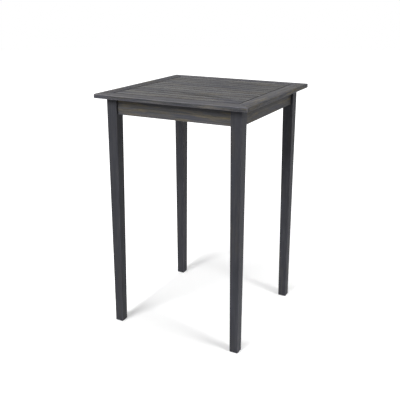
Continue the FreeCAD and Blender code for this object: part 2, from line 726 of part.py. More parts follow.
def cut_block_screws(body, name, plane, x="0", y="0", backwards=False):
    """Counterbore and drill the block for its screws into one apron."""
    recess = "fits.block_far - fits.block_screw_seat"
    for step, (radius, depth) in enumerate((
        ("(dims.counterbore_diameter / 2)", recess),
        ("fits.screw_hole_radius", ""),
    )):
        sketch = new_sketch(body, f"{name}_screws_{step}", plane, x, y)
        for row in range(SCREWS_PER_BLOCK_FACE):
            level = f"fits.lower_screw + {row} * dims.block_screw_spacing"
            draw_ring(sketch, "fits.block_screw_place", level, radius, SCREW_SIDES)
        pocket(body, sketch, depth, backwards=backwards)


# Fasteners: each group is drawn once for the front left of the table and repeated


def corner_place(formula, side):
    """Place along X or Y of a length that is measured from the front left leg's corner."""
    return f"{formula} - fits.leg_corner_{side}"


def bolt_sketch(body, name, total):
    """Lay a sketch across the lower bolt of the front left leg, where x + y is the total."""
    half = f"{total} / 2"
    level = "fits.block_base + fits.lower_bolt"
    x = corner_place(half, "x")
    y = corner_place(half, "y")
    return new_sketch(body, name, "XZ_Plane", x, y, level, diagonal=True)


def repeat_bolts(body, features):
    """Repeat what belongs to one bolt for all the bolts of all the legs."""
    rows = [("Z_Axis", BOLTS_PER_LEG, "dims.bolt_spacing")]
    repeat(body, features, rows, FOUR_CORNERS)


def leg_bolts():
    """Hexagon head bolts through the corner blocks into the legs."""
    body = new_body("leg_bolts", many=True)
    shank_face = bolt_sketch(body, "shank", "fits.seat_sum")
    draw_ring(shank_face, "0", "0", "(dims.bolt_diameter / 2)", BOLT_SIDES)
    shank = pad(body, shank_face, "dims.bolt_length", backwards=True)
    head_face = bolt_sketch(body, "head", "fits.seat_sum")
    draw_ring(head_face, "0", "0", "(dims.bolt_head_width / 2)", BOLT_HEAD_SIDES)
    head = pad(body, head_face, "dims.bolt_head_height")
    repeat_bolts(body, [shank, head])


def bolt_washers():
    """Washers between the bolt heads and the corner blocks."""
    body = new_body("bolt_washers", many=True)
    face = bolt_sketch(body, "ring", "fits.far_sum")
    draw_ring(face, "0", "0", "(dims.washer_diameter / 2)", BOLT_SIDES)
    draw_ring(face, "0", "0", "(dims.bolt_diameter / 2 + dims.bolt_play)", BOLT_SIDES)
    repeat_bolts(body, [pad(body, face, "dims.washer_thickness")])


def leg_inserts():
    """Threaded inserts in the legs, just below their flats."""
    body = new_body("leg_inserts", many=True)
    face = bolt_sketch(body, "ring", "fits.insert_sum")
    draw_ring(face, "0", "0", "(dims.insert_diameter / 2)", BOLT_SIDES)
    draw_ring(face, "0", "0", "(dims.bolt_diameter / 2 + dims.bolt_insert_play)", BOLT_SIDES)
    repeat_bolts(body, [pad(body, face, "dims.insert_length", backwards=True)])


def block_screws():
    """Pan head screws from the corner blocks into the aprons."""
    body = new_body("block_screws", many=True)
    level = "fits.block_base + fits.lower_screw"
    head = [
        ("-dims.pan_head_height", f"{PAN_CROWN_SHARE} * fits.head_radius"),
        ("-dims.pan_head_height / 2", "fits.head_radius"),
        ("0", "fits.head_radius"),
    ]
    shank = [
        ("0", "fits.screw_radius"),
        ("dims.short_screw_length - fits.screw_radius", "fits.screw_radius"),
        ("dims.short_screw_length", f"{SCREW_TIP_SHARE} * fits.screw_radius"),
    ]
    features = []
    for name, plane, x, y in (
        ("front", "XZ_Plane", "fits.block_screw_place", "fits.block_screw_seat"),
        ("side", "YZ_Plane", "fits.block_screw_seat", "fits.block_screw_place"),
    ):
        place = (corner_place(x, "x"), corner_place(y, "y"), level)
        features.append(loft_rings(body, f"{name}_head", plane, place, head, away="-"))
        features.append(loft_rings(body, f"{name}_shank", plane, place, shank, away="-"))
    rows = [("Z_Axis", SCREWS_PER_BLOCK_FACE, "dims.block_screw_spacing")]
    repeat(body, features, rows, FOUR_CORNERS)


def batten_screws():
    """Countersunk screws up through the battens, one into each slat."""
    body = new_body("batten_screws", many=True)
    place = (
        "-dims.batten_spacing / 2",
        f"-{(SLAT_COUNT - 1) / 2} * fits.slat_pitch",
        "fits.top_underside - dims.batten_thickness",
    )
    screw = countersunk_screw(body, "screw", "XY_Plane", place)
    repeat(body, [screw], [("Y_Axis", SLAT_COUNT, "fits.slat_pitch")], ("YZ_Plane",))


def cleat_screws():
    """Countersunk screws from the cleats into the side aprons."""
    body = new_body("cleat_screws", many=True)
    place = (
        "-fits.cleat_line + dims.cleat_size / 2",
        f"-{(CLEAT_SCREW_COUNT - 1) / 2} * dims.cleat_screw_spacing",
        "fits.top_underside - dims.cleat_size / 2",
    )
    screw = countersunk_screw(body, "screw", "YZ_Plane", place, away="-")
    rows = [("Y_Axis", CLEAT_SCREW_COUNT, "dims.cleat_screw_spacing")]
    repeat(body, [screw], rows, ("YZ_Plane",))


def top_screws():
    """Countersunk screws up through the cleats into the slats."""
    body = new_body("top_screws", many=True)
    near, far = TOP_SCREW_PITCHES
    place = (
        "-fits.cleat_line",
        f"{near} * fits.slat_pitch",
        "fits.top_underside - dims.cleat_size",
    )
    screw = countersunk_screw(body, "screw", "XY_Plane", place)
    repeat(body, [screw], [("Y_Axis", 2, f"{far - near} * fits.slat_pitch")], FOUR_CORNERS)


# The whole table


def build_table():
    """Make every piece."""
    rail("rail_front", 0, "dims.table_width", "0", "-fits.half_depth", grooved=False)
    rail("rail_right", 90, "dims.table_depth", "fits.half_width", "0", grooved=True)
    rail("rail_back", 180, "dims.table_width", "0", "fits.half_depth", grooved=False)
    rail("rail_left", 270, "dims.table_depth", "-fits.half_width", "0", grooved=True)
    corner_splines()
    for number_along in range(1, SLAT_COUNT + 1):
        slat(number_along)
    batten("batten_left", "-")
    batten("batten_right", "")
    cleat("cleat_left", 0, "-")
    cleat("cleat_right", 180, "")
    face_x = "(fits.half_width - fits.apron_setback)"
    face_y = "(fits.half_depth - fits.apron_setback)"
    front = ("fits.front_apron_length", "fits.leg_corner_x")
    side = ("fits.side_apron_length", "fits.leg_corner_y")
    apron("apron_front", 0, "0", f"-{face_y}", *front, cleated=False)
    apron("apron_right", 90, face_x, "0", *side, cleated=True)
    apron("apron_back", 180, "0", face_y, *front, cleated=False)
    apron("apron_left", 270, f"-{face_x}", "0", *side, cleated=True)
    for corner in CORNERS:
        leg(*corner)
        corner_block(*corner)
    leg_bolts()
    bolt_washers()
    leg_inserts()
    block_screws()
    batten_screws()
    cleat_screws()
    top_screws()


def check_table():
    """Stop if a feature failed, a cut removed nothing or a piece is not a sound solid."""
    for item in doc.Objects:
        if {"Invalid", "Error"} & set(item.State):
            raise RuntimeError(f"{item.Name} failed: {item.State}")
        if item.TypeId in ("PartDesign::Pocket", "PartDesign::SubtractiveLoft"):
            if item.Shape.Volume >= item.BaseFeature.Shape.Volume:
                raise RuntimeError(f"{item.Name} cut nothing")
    for body in nodes:
        if body.Shape.isNull() or not body.Shape.isValid() or not body.Shape.Solids:
            raise RuntimeError(f"{body.Label} is not a sound solid")


def write_steps():
    """Write one file for each piece or group of like fasteners."""
    os.makedirs("parts", exist_ok=True)
    for body in nodes:
        body.Shape.exportStep(f"parts/{body.Label}.step")


fill_sheet("dims", "driving dimensions", DRIVING_DIMENSIONS)
fill_sheet("fits", "derived sizes", [(a, f"={formula}", note) for a, formula, note in DERIVED_SIZES])
build_table()
doc.recompute()
check_table()
write_steps()
for body in nodes:
    print(f"{body.Label}: {len(body.Shape.Solids)} solid, {body.Shape.Volume / 1000:.1f} cm3")
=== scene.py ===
"""Looks of a square slatted bar table of dark stained wood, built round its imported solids.

X runs along the front of the table and along the slats, Y from the front to the back, Z up.
"""
import math

import bmesh
import bpy
from bpy.props import FloatProperty, FloatVectorProperty, IntProperty, PointerProperty
from mathutils import Matrix, Vector


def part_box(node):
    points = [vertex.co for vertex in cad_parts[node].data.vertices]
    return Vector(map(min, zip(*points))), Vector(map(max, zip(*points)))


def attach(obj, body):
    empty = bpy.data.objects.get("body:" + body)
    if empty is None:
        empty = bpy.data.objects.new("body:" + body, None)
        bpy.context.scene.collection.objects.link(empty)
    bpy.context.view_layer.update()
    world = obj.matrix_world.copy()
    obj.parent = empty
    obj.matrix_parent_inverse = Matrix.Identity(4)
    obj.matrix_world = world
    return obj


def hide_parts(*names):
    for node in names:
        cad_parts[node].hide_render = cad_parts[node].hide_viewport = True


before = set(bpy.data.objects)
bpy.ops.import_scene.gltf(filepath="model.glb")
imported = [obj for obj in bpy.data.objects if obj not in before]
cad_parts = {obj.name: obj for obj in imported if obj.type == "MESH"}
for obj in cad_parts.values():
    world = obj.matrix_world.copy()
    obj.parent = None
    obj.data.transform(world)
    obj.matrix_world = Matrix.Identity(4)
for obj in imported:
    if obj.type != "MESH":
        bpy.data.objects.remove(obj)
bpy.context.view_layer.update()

bl_info = {
    "name": "Slatted Bar Table",
    "version": (1, 0, 0),
    "blender": (4, 5, 0),
    "location": "3D View > Sidebar > Bar Table",
    "description": "Finishes the solids of a slatted bar table and sets its stage",
    "category": "Object",
}

BODY = "root"
SIDES = ("front", "right", "back", "left")
CORNERS = ("front_left", "front_right", "back_right", "back_left")
SLATS = sorted(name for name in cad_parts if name.startswith("slat_"))
# Corners nearer than the first are one, and edges shorter than the second are none, in metres
WELD, FLAW = 0.00002, 0.000001
SHARP_ANGLE = math.radians(32.0)
FLOOR_SIDES = 96
WHITE = (1.0, 1.0, 1.0, 1.0)


# Settings


def a_number(default, description, **details):
    """A number, with whatever else the sidebar has to know of it."""
    return FloatProperty(default=default, description=description, **details)


def an_amount(default, description):
    """A number from nothing upwards."""
    return a_number(default, description, min=0.0)


def a_length(default, description):
    """A size in metres that the sidebar shows with its unit."""
    return a_number(default, description, min=0.0, unit="LENGTH")


def a_share(default, description):
    """A share from none to all."""
    return a_number(default, description, min=0.0, max=1.0, subtype="FACTOR")


def an_angle(degrees, description):
    """An angle, given in degrees."""
    return a_number(math.radians(degrees), description, subtype="ANGLE")


def a_row(default, description, **details):
    """Some numbers that belong together."""
    size = len(default)
    return FloatVectorProperty(default=default, size=size, description=description, **details)


def a_place(default, description):
    """A place in metres."""
    return a_row(default, description, subtype="TRANSLATION", unit="LENGTH")


def a_colour(default, description):
    """A colour as it is mixed, in linear red, green and blue."""
    return a_row(default, description, min=0.0, max=1.0, subtype="COLOR")


def a_count(default, description, least=0):
    """A whole number."""
    return IntProperty(default=default, min=least, description=description)


def labelled(group):
    """Label each setting of a group in the sidebar with its own name."""
    for name, row in group.__annotations__.items():
        row.keywords["name"] = name.replace("_", " ").title()
    return group


@labelled
class BarTableStain(bpy.types.PropertyGroup):
    """Colours and scale of the stained wood, with its painted highlight on edges and painted shade at gaps.
    """

    rail_stain: a_colour((0.076, 0.076, 0.083), "Stain of the rails")
    slat_stain: a_colour((0.190, 0.190, 0.192), "Stain of the slats")
    apron_stain: a_colour((0.069, 0.068, 0.070), "Stain of the aprons")
    leg_stain: a_colour((0.0275, 0.0285, 0.0350), "Stain of the legs")
    inner_stain: a_colour((0.070, 0.064, 0.058), "Stain of hidden boards")
    dark_streak: a_colour((0.016, 0.017, 0.021), "Stain lying in the grain")
    pale_streak: a_colour((0.125, 0.123, 0.128), "Grain that took less stain")
    bare_wood: a_colour((0.185, 0.150, 0.080), "Wood where the stain is thin")
    cool_stain: a_colour((0.064, 0.065, 0.080), "Stain that lies thick")
    rail_contrast: an_amount(2.6, "Strength of the marks on the rails")
    slat_contrast: an_amount(2.1, "Strength of the marks on the slats")
    inner_contrast: an_amount(1.3, "Strength of the marks on hidden boards")
    apron_contrast: an_amount(1.1, "Strength of the marks on the aprons")
    leg_contrast: an_amount(0.30, "Strength of the marks on the legs")
    band_width: a_length(0.0042, "Width of a growth band")
    streak_width: a_length(0.0070, "Width of a streak")
    streak_length: a_length(0.18, "Length of a streak")
    waviness: a_length(0.007, "How far the grain wanders sideways")
    top_bare_share: a_share(0.42, "How strongly thin stain shows on the top")
    base_bare_share: a_share(0.85, "How strongly thin stain shows on the aprons")
    leg_bare_share: a_share(0.40, "How strongly thin stain shows on the legs")
    cloud_contrast: a_share(0.45, "Difference between parts of a board")
    board_contrast: a_share(0.26, "Difference between boards")
    # Painted highlight: a pale colour laid over the rounded edges of the rails, aprons, legs and hidden
    # boards
    pale_arris: a_colour((0.200, 0.196, 0.222), "Rounded edge where stain is thin")
    worn_arris: a_colour((0.300, 0.250, 0.155), "Edge of a slat, worn to the wood")
    # Painted shade: near black on the sides that face a gap, and a dark band on the upper faces beside the
    # gaps
    gap_stain: a_colour((0.008, 0.008, 0.010), "Stain of sides that face a gap")
    seam_share: a_share(0.85, "How dark the slats' upper faces are beside a gap")
    seam_reach: a_length(0.0034, "How far that dark line reaches")
    # Shares of the painted highlight on the edges of the rails, of boards along Y and of the base; the
    # slats' share is of worn wood
    rail_arris_share: a_share(0.60, "How pale the rails' edges are")
    side_arris_share: a_share(0.35, "Part of that on boards that run along Y")
    slat_arris_share: a_share(0.30, "How worn the slats' edges are")
    base_arris_share: a_share(0.20, "How pale the base's edges are")
    rub_width: a_length(0.0022, "Width of the worn line along an edge")
    rub_share: a_share(0.80, "How strongly edges are worn")
    roughness: a_share(0.62, "Roughness of the stained surface")
    gloss: a_share(0.20, "Specular level of the stained surface")
    relief: a_length(0.00035, "Depth of the grain")
    relief_share: a_share(0.6, "How strongly that depth shows")


@labelled
class BarTableTop(bpy.types.PropertyGroup):
    """Small sizes of the rails and slats."""

    upper_edge: a_length(0.0045, "Rounding of the rails' upper outer edges")
    lower_edge: a_length(0.003, "Rounding of the rails' lower outer edges")
    tip_radius: a_length(0.008, "Rounding of the corners of the top in plan")
    inner_edge: a_length(0.0006, "Rounding of the rails' inner edges")
    mitre_edge: a_length(0.0007, "Rounding beside the mitres")
    slat_edge: a_length(0.0006, "Rounding of the slats' edges")
    edge_steps: a_count(4, "Faces round an edge", least=1)
    groove_play: a_length(0.00015, "Space above and below a tongue")
    groove_end: a_length(0.002, "Space beyond the end of a tongue")
    rail_step: a_share(0.10, "Step from one rail's own number to the next one's")
    board_seed: a_count(4, "Seed of the slats' grain")


@labelled
class BarTableFasteners(bpy.types.PropertyGroup):
    """Small sizes of the screws, bolts and washers."""

    shank_share: a_share(0.5, "Shank of a screw, of its head")
    crown_share: a_share(0.62, "Flat top of a pan head, of its head")
    proud: a_length(0.00015, "How far a countersunk head stands out and covers its hole")
    recess_arm: a_length(0.0024, "Reach of the cross recess from its middle")
    recess_slot: a_length(0.0009, "Width of the cross recess")
    recess_depth: a_length(0.0012, "Depth of the cross recess")
    tip_length: a_length(0.004, "Pointed end of a screw")
    pan_height: a_length(0.0026, "Height of a pan head")
    bolt_head: a_length(0.0053, "Height of a bolt head")
    bolt_flats: a_length(0.013, "Bolt head across its flats")
    bolt_shank: a_length(0.004, "Radius of a bolt")
    corner_share: a_share(0.93, "Chamfer circle of a bolt head")
    washer_radius: a_length(0.010, "Outer radius of a washer")
    washer_bore: a_length(0.0045, "Inner radius of a washer")
    washer_depth: a_length(0.0016, "Thickness of a washer")
    insert_radius: a_length(0.006, "Outer radius of an insert")
    insert_bore: a_length(0.00408, "Inner radius of an insert")
    insert_depth: a_length(0.018, "Length of an insert")
    zinc: a_colour((0.56, 0.56, 0.57), "Plated steel")
    round_steps: a_count(24, "Sides of a circle", least=6)
    turn_seed: a_count(2, "Seed of the screws' turns")


@labelled
class BarTableStage(bpy.types.PropertyGroup):
    """Camera, floor and lamps."""

    camera_place: a_place((1.2359, -2.4245, 1.4730), "Where the camera stands")
    camera_heading: an_angle(27.575, "Turn of the camera about the vertical")
    camera_pitch: an_angle(16.645, "How far the camera looks down")
    camera_lens: a_number(56.0, "Focal length in millimetres")
    camera_shift: a_number(-0.06, "Lens shift that keeps the legs more upright")
    floor_radius: a_length(14.0, "Radius of the round floor")
    floor_shades: a_row((0.86, 0.12), "Grey of the floor near the table and far off")
    floor_fade: a_row((0.9, 2.4), "Where the floor begins to darken and is darkest", unit="LENGTH")
    bright_spot: a_place((0.5, -0.9, 0.0), "Where the lamps light the floor most")
    floor_light: a_row((1.34, 0.35), "Light at the bright spot and at the dim distance")
    dim_distance: a_length(3.0, "How far from the bright spot the light is dim")
    shadow_centre: a_place((0.0, 0.10, 0.0), "Where the shadows show most")
    # Painted light: the floor glows a little whiter for the camera near the shadow centre, and fully white
    # away from it and at the sides, which lightens the table's shadows there and hides them further out
    added_white: a_row((0.03, 0.40), "White added at the shadow centre and beyond the shadows")
    added_reach: a_row((0.42, 0.85), "Where it begins to grow and is full", unit="LENGTH")
    side_reach: a_row((0.29, 0.33), "Where it does so at the sides", unit="LENGTH")
    world_light: an_amount(0.36, "Light all round")
    right_lamp: an_amount(2.35, "Power of the lamp at the right")
    right_place: a_place((2.1, -0.48, 2.1), "Where the right lamp stands")
    right_target: a_place((0.15, -0.1, 0.0), "What the right lamp faces")
    right_size: a_length(0.8, "Side of the right lamp")
    right_spread: an_angle(38.0, "How wide the right lamp throws its light")
    front_lamp: an_amount(134.0, "Power of the lamp in front")
    front_place: a_place((-0.85, -3.25, 2.92), "Where the front lamp stands")
    front_target: a_place((0.0, -0.1, 0.6), "What the front lamp faces")
    front_size: a_length(1.5, "Side of the front lamp")
    front_spread: an_angle(180.0, "How wide the front lamp throws its light")


SETTINGS = {
    "bar_table_stain": BarTableStain,
    "bar_table_top": BarTableTop,
    "bar_table_fasteners": BarTableFasteners,
    "bar_table_stage": BarTableStage,
}


# Nodes


def sign(operation, turned=False):
    """A sign between a signal and another value; turned where the signal stands behind it."""
    return lambda own, other: calculate(operation, *((other, own) if turned else (own, other)))


class Signal:
    """What a node puts out; plus, minus, times and over lead it through a Math node."""

    def __init__(self, socket):
        self.socket = socket
        self.tree = socket.id_data

    __add__ = sign("ADD")
    __radd__ = sign("ADD", turned=True)
    __sub__ = sign("SUBTRACT")
    __rsub__ = sign("SUBTRACT", turned=True)
    __mul__ = sign("MULTIPLY")
    __truediv__ = sign("DIVIDE")


def tree_of(*values):
    """The tree of the first signal among some values."""
    return next(value.tree for value in values if isinstance(value, Signal))


def put(tree, kind, feeds=None, **settings):
    """Add a node, set it up, and feed its inputs with plain values or signals."""
    node = tree.nodes.new(kind)
    for name, value in settings.items():
        setattr(node, name, value)
    for socket, value in (feeds or {}).items():
        if isinstance(value, Signal):
            tree.links.new(value.socket, node.inputs[socket])
        else:
            node.inputs[socket].default_value = value
    return node


def take(tree, kind, feeds=None, output=0, **settings):
    """Add a node and take one of its outputs."""
    return Signal(put(tree, kind, feeds, **settings).outputs[output])


def calculate(operation, first, second=0.0, clamp=False):
    """Work out one number from one or two."""
    feeds = {0: first, 1: second}
    return take(tree_of(first, second), "ShaderNodeMath", feeds, operation=operation, use_clamp=clamp)


def vector(operation, first, *others, output=0):
    """Work out a place, a direction or a number from places and directions."""
    feeds = dict(enumerate((first, *others)))
    return take(first.tree, "ShaderNodeVectorMath", feeds, output, operation=operation)


def scaled(place, share):
    """Multiply a place or a colour by a number."""
    return take(place.tree, "ShaderNodeVectorMath", {0: place, 3: share}, operation="SCALE")


def join(tree, x=0.0, y=0.0, z=0.0):
    """Make a vector of three numbers."""
    return take(tree, "ShaderNodeCombineXYZ", {"X": x, "Y": y, "Z": z})


def separate(place):
    """The three numbers of a vector."""
    return [Signal(socket) for socket in put(place.tree, "ShaderNodeSeparateXYZ", {0: place}).outputs]


def limit(value, low, high, to_low=0.0, to_high=1.0):
    """Spread the numbers between low and high over a new range, and hold the rest at its ends."""
    feeds = {"Value": value, "From Min": low, "From Max": high, "To Min": to_low, "To Max": to_high}
    return take(value.tree, "ShaderNodeMapRange", feeds)


def mix_colours(share, first, second, blend="MIX"):
    """Blend two colours."""
    tree = tree_of(share, first, second)
    # Inputs 6 and 7 and output 2 are the node's own for colours
    feeds = {0: share, 6: first, 7: second}
    return take(tree, "ShaderNodeMix", feeds, 2, data_type="RGBA", blend_type=blend)


# Kinds of named inputs and outputs; the rest are numbers
SOCKETS = {
    "Vector": ("Place",),
    "Color": (
        "Colour", "Stain", "Dark Streak", "Pale Streak", "Bare Wood", "Cool Stain", "Pale Arris",
        "Gap Stain",
    ),
    "Int": ("Count", "Steps", "Seed"),
    "Geometry": ("Points", "Slats", "Fasteners"),
    "Material": ("Finish",),
}


def new_group(name, takes, gives, kind="ShaderNodeTree"):
    """Make a node group with named inputs and outputs; returns it and what it takes."""
    group = bpy.data.node_groups.new(name, kind)
    kinds = {label: sort for sort, labels in SOCKETS.items() for label in labels}
    for way, labels in (("INPUT", takes), ("OUTPUT", gives)):
        for label in labels:
            socket = "NodeSocket" + kinds.get(label, "Float")
            group.interface.new_socket(label, in_out=way, socket_type=socket)
    inside = group.nodes.new("NodeGroupInput").outputs
    return group, [Signal(inside[label]) for label in takes]


def give(group, *results):
    """Lead results out of a group, in the order of its outputs."""
    for socket, result in zip(group.nodes.new("NodeGroupOutput").inputs, results):
        group.links.new(result.socket, socket)
    return group


def use_group(tree, group, feeds):
    """Place a node group in a tree; returns what it puts out by name."""
    node = put(tree, "ShaderNodeGroup", feeds, node_tree=group)
    return {socket.name: Signal(socket) for socket in node.outputs}


def new_material(name):
    """An empty material, its tree, and the place on the piece that wears it."""
    material = bpy.data.materials.new(name)
    material.use_nodes = True
    tree = material.node_tree
    tree.nodes.clear()
    return material, tree, take(tree, "ShaderNodeTexCoord", output="Object")


# Wood

# Clouds in a metre along and across the grain, unless the place is measured in them already, their
# detail and their roughness
CLOUDS = {
    "drift": ((1.7, 9.0, 9.0), 2.0, 0.5),
    "bands": (None, 3.0, 0.62),
    "streaks": (None, 4.0, 0.58),
    "fibres": ((16.0, 1100.0, 1100.0), 3.0, 0.6),
    "pores": ((75.0, 1500.0, 1500.0), 1.0, 0.5),
    "worn stretches": ((11.0, 70.0, 70.0), 4.0, 0.65),
    "thin stain": ((9.0, 85.0, 85.0), 3.0, 0.6),
    "thin regions": ((3.0, 14.0, 14.0), 2.0, 0.5),
    "thick stain": ((5.0, 30.0, 30.0), 3.0, 0.6),
    "patches": ((6.0, 12.0, 12.0), 1.0, 0.5),
    "plating": ((400.0, 400.0, 400.0), 3.0, 0.5),
}

# Where a mark begins and where it is full, and what it is at both, where not none and all
RAMPS = {
    "pores": (0.60, 0.70),
    "turned edge": (0.015, 0.16),
    "worn stretches": (0.44, 0.62, 0.06, 1.0),
    "arris": (0.990, 0.90),
    "side": (0.94, 0.80),
    "inward": (-0.02, -0.12),
    "dark bands": (0.42, 0.66, 0.0, 0.50),
    "pale streaks": (0.48, 0.72, 0.0, 0.55),
    "thick stain": (0.48, 0.66, 0.0, 0.60),
    "thin stain": (0.46, 0.68),
    "thin regions": (0.35, 0.65),
    "bare fibres": (0.30, 0.70, 0.45, 1.0),
    "dark fibres": (0.52, 0.74, 0.0, 0.40),
    "dark pores": (0.0, 1.0, 0.0, 0.55),
    "uneven arris": (0.35, 0.60, 0.55, 1.0),
    "rub tint": (0.40, 0.60),
    "dullness": (0.3, 0.7, -0.07, 0.09),
    "plate shade": (0.3, 0.7, 0.75, 1.0),
    "plate roughness": (0.3, 0.7, 0.28, 0.46),
}

PITH_LEAN = 0.011
RUB_SAMPLES = 6
GRAIN_SHIFT = (7.3, 1.9, 0.6)
STAIN_SHIFT = (5.0, 3.0)
FIBRE_HEIGHT, PORE_DEPTH, BAND_HEIGHT = 0.45, 0.55, 0.3

# What the stained board takes: its own values, and those that all kinds of board share
GRAIN_SIZES = ("Band Width", "Streak Width", "Streak Length", "Waviness")
OWN_VALUES = (
    "Place", "Own Number", "Stain", "Contrast", "Bare Share", "Arris", "Pale Arris", "Arris Share", "Gap",
)
SHARED_VALUES = (
    "Dark Streak", "Pale Streak", "Bare Wood", "Cool Stain", "Gap Stain", "Board Contrast",
    "Cloud Contrast", "Rub Share", "Rub Width", "Roughness", *GRAIN_SIZES,
)

# For each kind of board: the axes that its grain takes, its settings of bare wood and of pale edges (a
# painted highlight; worn wood on the slats), and which of its sides face a gap and get painted shade
WOODS = {
    "rail": ("xy", "top_bare_share", "pale_arris", "rail_arris_share", "inner side"),
    "slat": ("x", "top_bare_share", "worn_arris", "slat_arris_share", "both sides"),
    "apron": ("xy", "base_bare_share", "pale_arris", "base_arris_share", None),
    "leg": ("z", "leg_bare_share", "pale_arris", "base_arris_share", None),
    "inner": ("xyz", "base_bare_share", "pale_arris", "base_arris_share", None),
}

GRAIN_TURNS = {"x": (0.0, 0.0, 0.0), "y": (0.0, 0.0, -math.pi / 2), "z": (0.0, math.pi / 2, 0.0)}


def clouds(place, name, output="Fac"):
    """Cloudy noise of one kind from the list above."""
    scale, detail, roughness = CLOUDS[name]
    if scale:
        place = vector("MULTIPLY", place, scale)
    feeds = {"Vector": place, "Scale": 1.0, "Detail": detail, "Roughness": roughness}
    return take(place.tree, "ShaderNodeTexNoise", feeds, output)


def ramp(value, name):
    """A mark of one kind from the list above."""
    return limit(value, *RAMPS[name])


def normal_of(tree):
    """Which way the surface faces."""
    return take(tree, "ShaderNodeNewGeometry", output="Normal")


def board_group():
    """A number for each board, from which side of the table it lies on and its own number."""
    group, (place, own) = new_group("board_number", ("Place", "Own Number"), ("Board",))
    side = vector("FLOOR", vector("MULTIPLY_ADD", place, (0.0, 0.5, 0.5), (0.5, 0.0, 0.0)))
    lot = take(group, "ShaderNodeTexWhiteNoise", {"Vector": side}, "Value")
    return give(group, calculate("FRACT", lot + own))


def grain_group():
    """Growth bands, streaks and pores along X, different in each board."""
    group, (place, board, band_width, streak_width, streak_length, waviness) = new_group(
        "wood_grain", ("Place", "Board", *GRAIN_SIZES), ("Bands", "Streaks", "Fibres", "Pores")
    )
    moved = vector("ADD", place, join(group, *(board * shift for shift in GRAIN_SHIFT)))
    drift = vector("SUBTRACT", clouds(moved, "drift", "Color"), (0.5, 0.5, 0.5))
    grown = vector("ADD", moved, scaled(vector("MULTIPLY", drift, (0.0, 1.0, 1.0)), waviness))
    x, y, z = separate(grown)
    ring = (calculate("SQRT", y * y + z * z) + x * PITH_LEAN) / band_width
    _, detail, roughness = CLOUDS["bands"]
    feeds = {"W": ring, "Scale": 1.0, "Detail": detail, "Roughness": roughness}
    bands = take(group, "ShaderNodeTexNoise", feeds, "Fac", noise_dimensions="1D")
    streaks = clouds(join(group, x / streak_length, y / streak_width, z / streak_width), "streaks")
    return give(group, bands, streaks, clouds(grown, "fibres"), ramp(clouds(grown, "pores"), "pores"))


def rub_group():
    """Where an edge is worn, in broken stretches along it."""
    group, (place, width) = new_group("edge_rub", ("Place", "Width"), ("Rubbed",))
    rounded = take(group, "ShaderNodeBevel", {"Radius": width}, samples=RUB_SAMPLES)
    straight = normal_of(group)
    turned = 1.0 - vector("DOT_PRODUCT", rounded, straight, output="Value")
    kept = ramp(clouds(place, "worn stretches"), "worn stretches")
    return give(group, ramp(turned, "turned edge") * kept)


def edge_group():
    """Where a surface turns over an edge, and which upright sides look towards the middle."""
    group, (place,) = new_group("edges_and_sides", ("Place",), ("Arris", "Side", "Inward"))
    normal = normal_of(group)
    x, y, z = separate(vector("ABSOLUTE", normal))
    most = calculate("MAXIMUM", calculate("MAXIMUM", x, y), z)
    flat = vector("MULTIPLY", place, (1.0, 1.0, 0.0))
    outward = vector("DOT_PRODUCT", normal, flat, output="Value")
    return give(group, ramp(most, "arris"), ramp(z, "side"), ramp(outward, "inward"))


def seam_group():
    """Painted shade along the seams between boards that lie side by side along Y."""
    group, (place, seam, pitch, half_gap, reach) = new_group(
        "seams", ("Place", "Seam", "Pitch", "Half Gap", "Reach"), ("Stained",)
    )
    turns = (separate(place)[1] - seam) / pitch
    away = calculate("ABSOLUTE", turns - calculate("ROUND", turns)) * pitch
    return give(group, limit((away - half_gap) / reach, 1.0, 0.0))


def rim_group():
    """Painted shade along a square round the middle of the table."""
    group, (place, half_width, reach) = new_group("rim", ("Place", "Half Width", "Reach"), ("Stained",))
    x, y, _ = separate(vector("ABSOLUTE", place))
    beyond = calculate("ABSOLUTE", calculate("MAXIMUM", x, y) - half_width)
    return give(group, limit(beyond / reach, 1.0, 0.0))


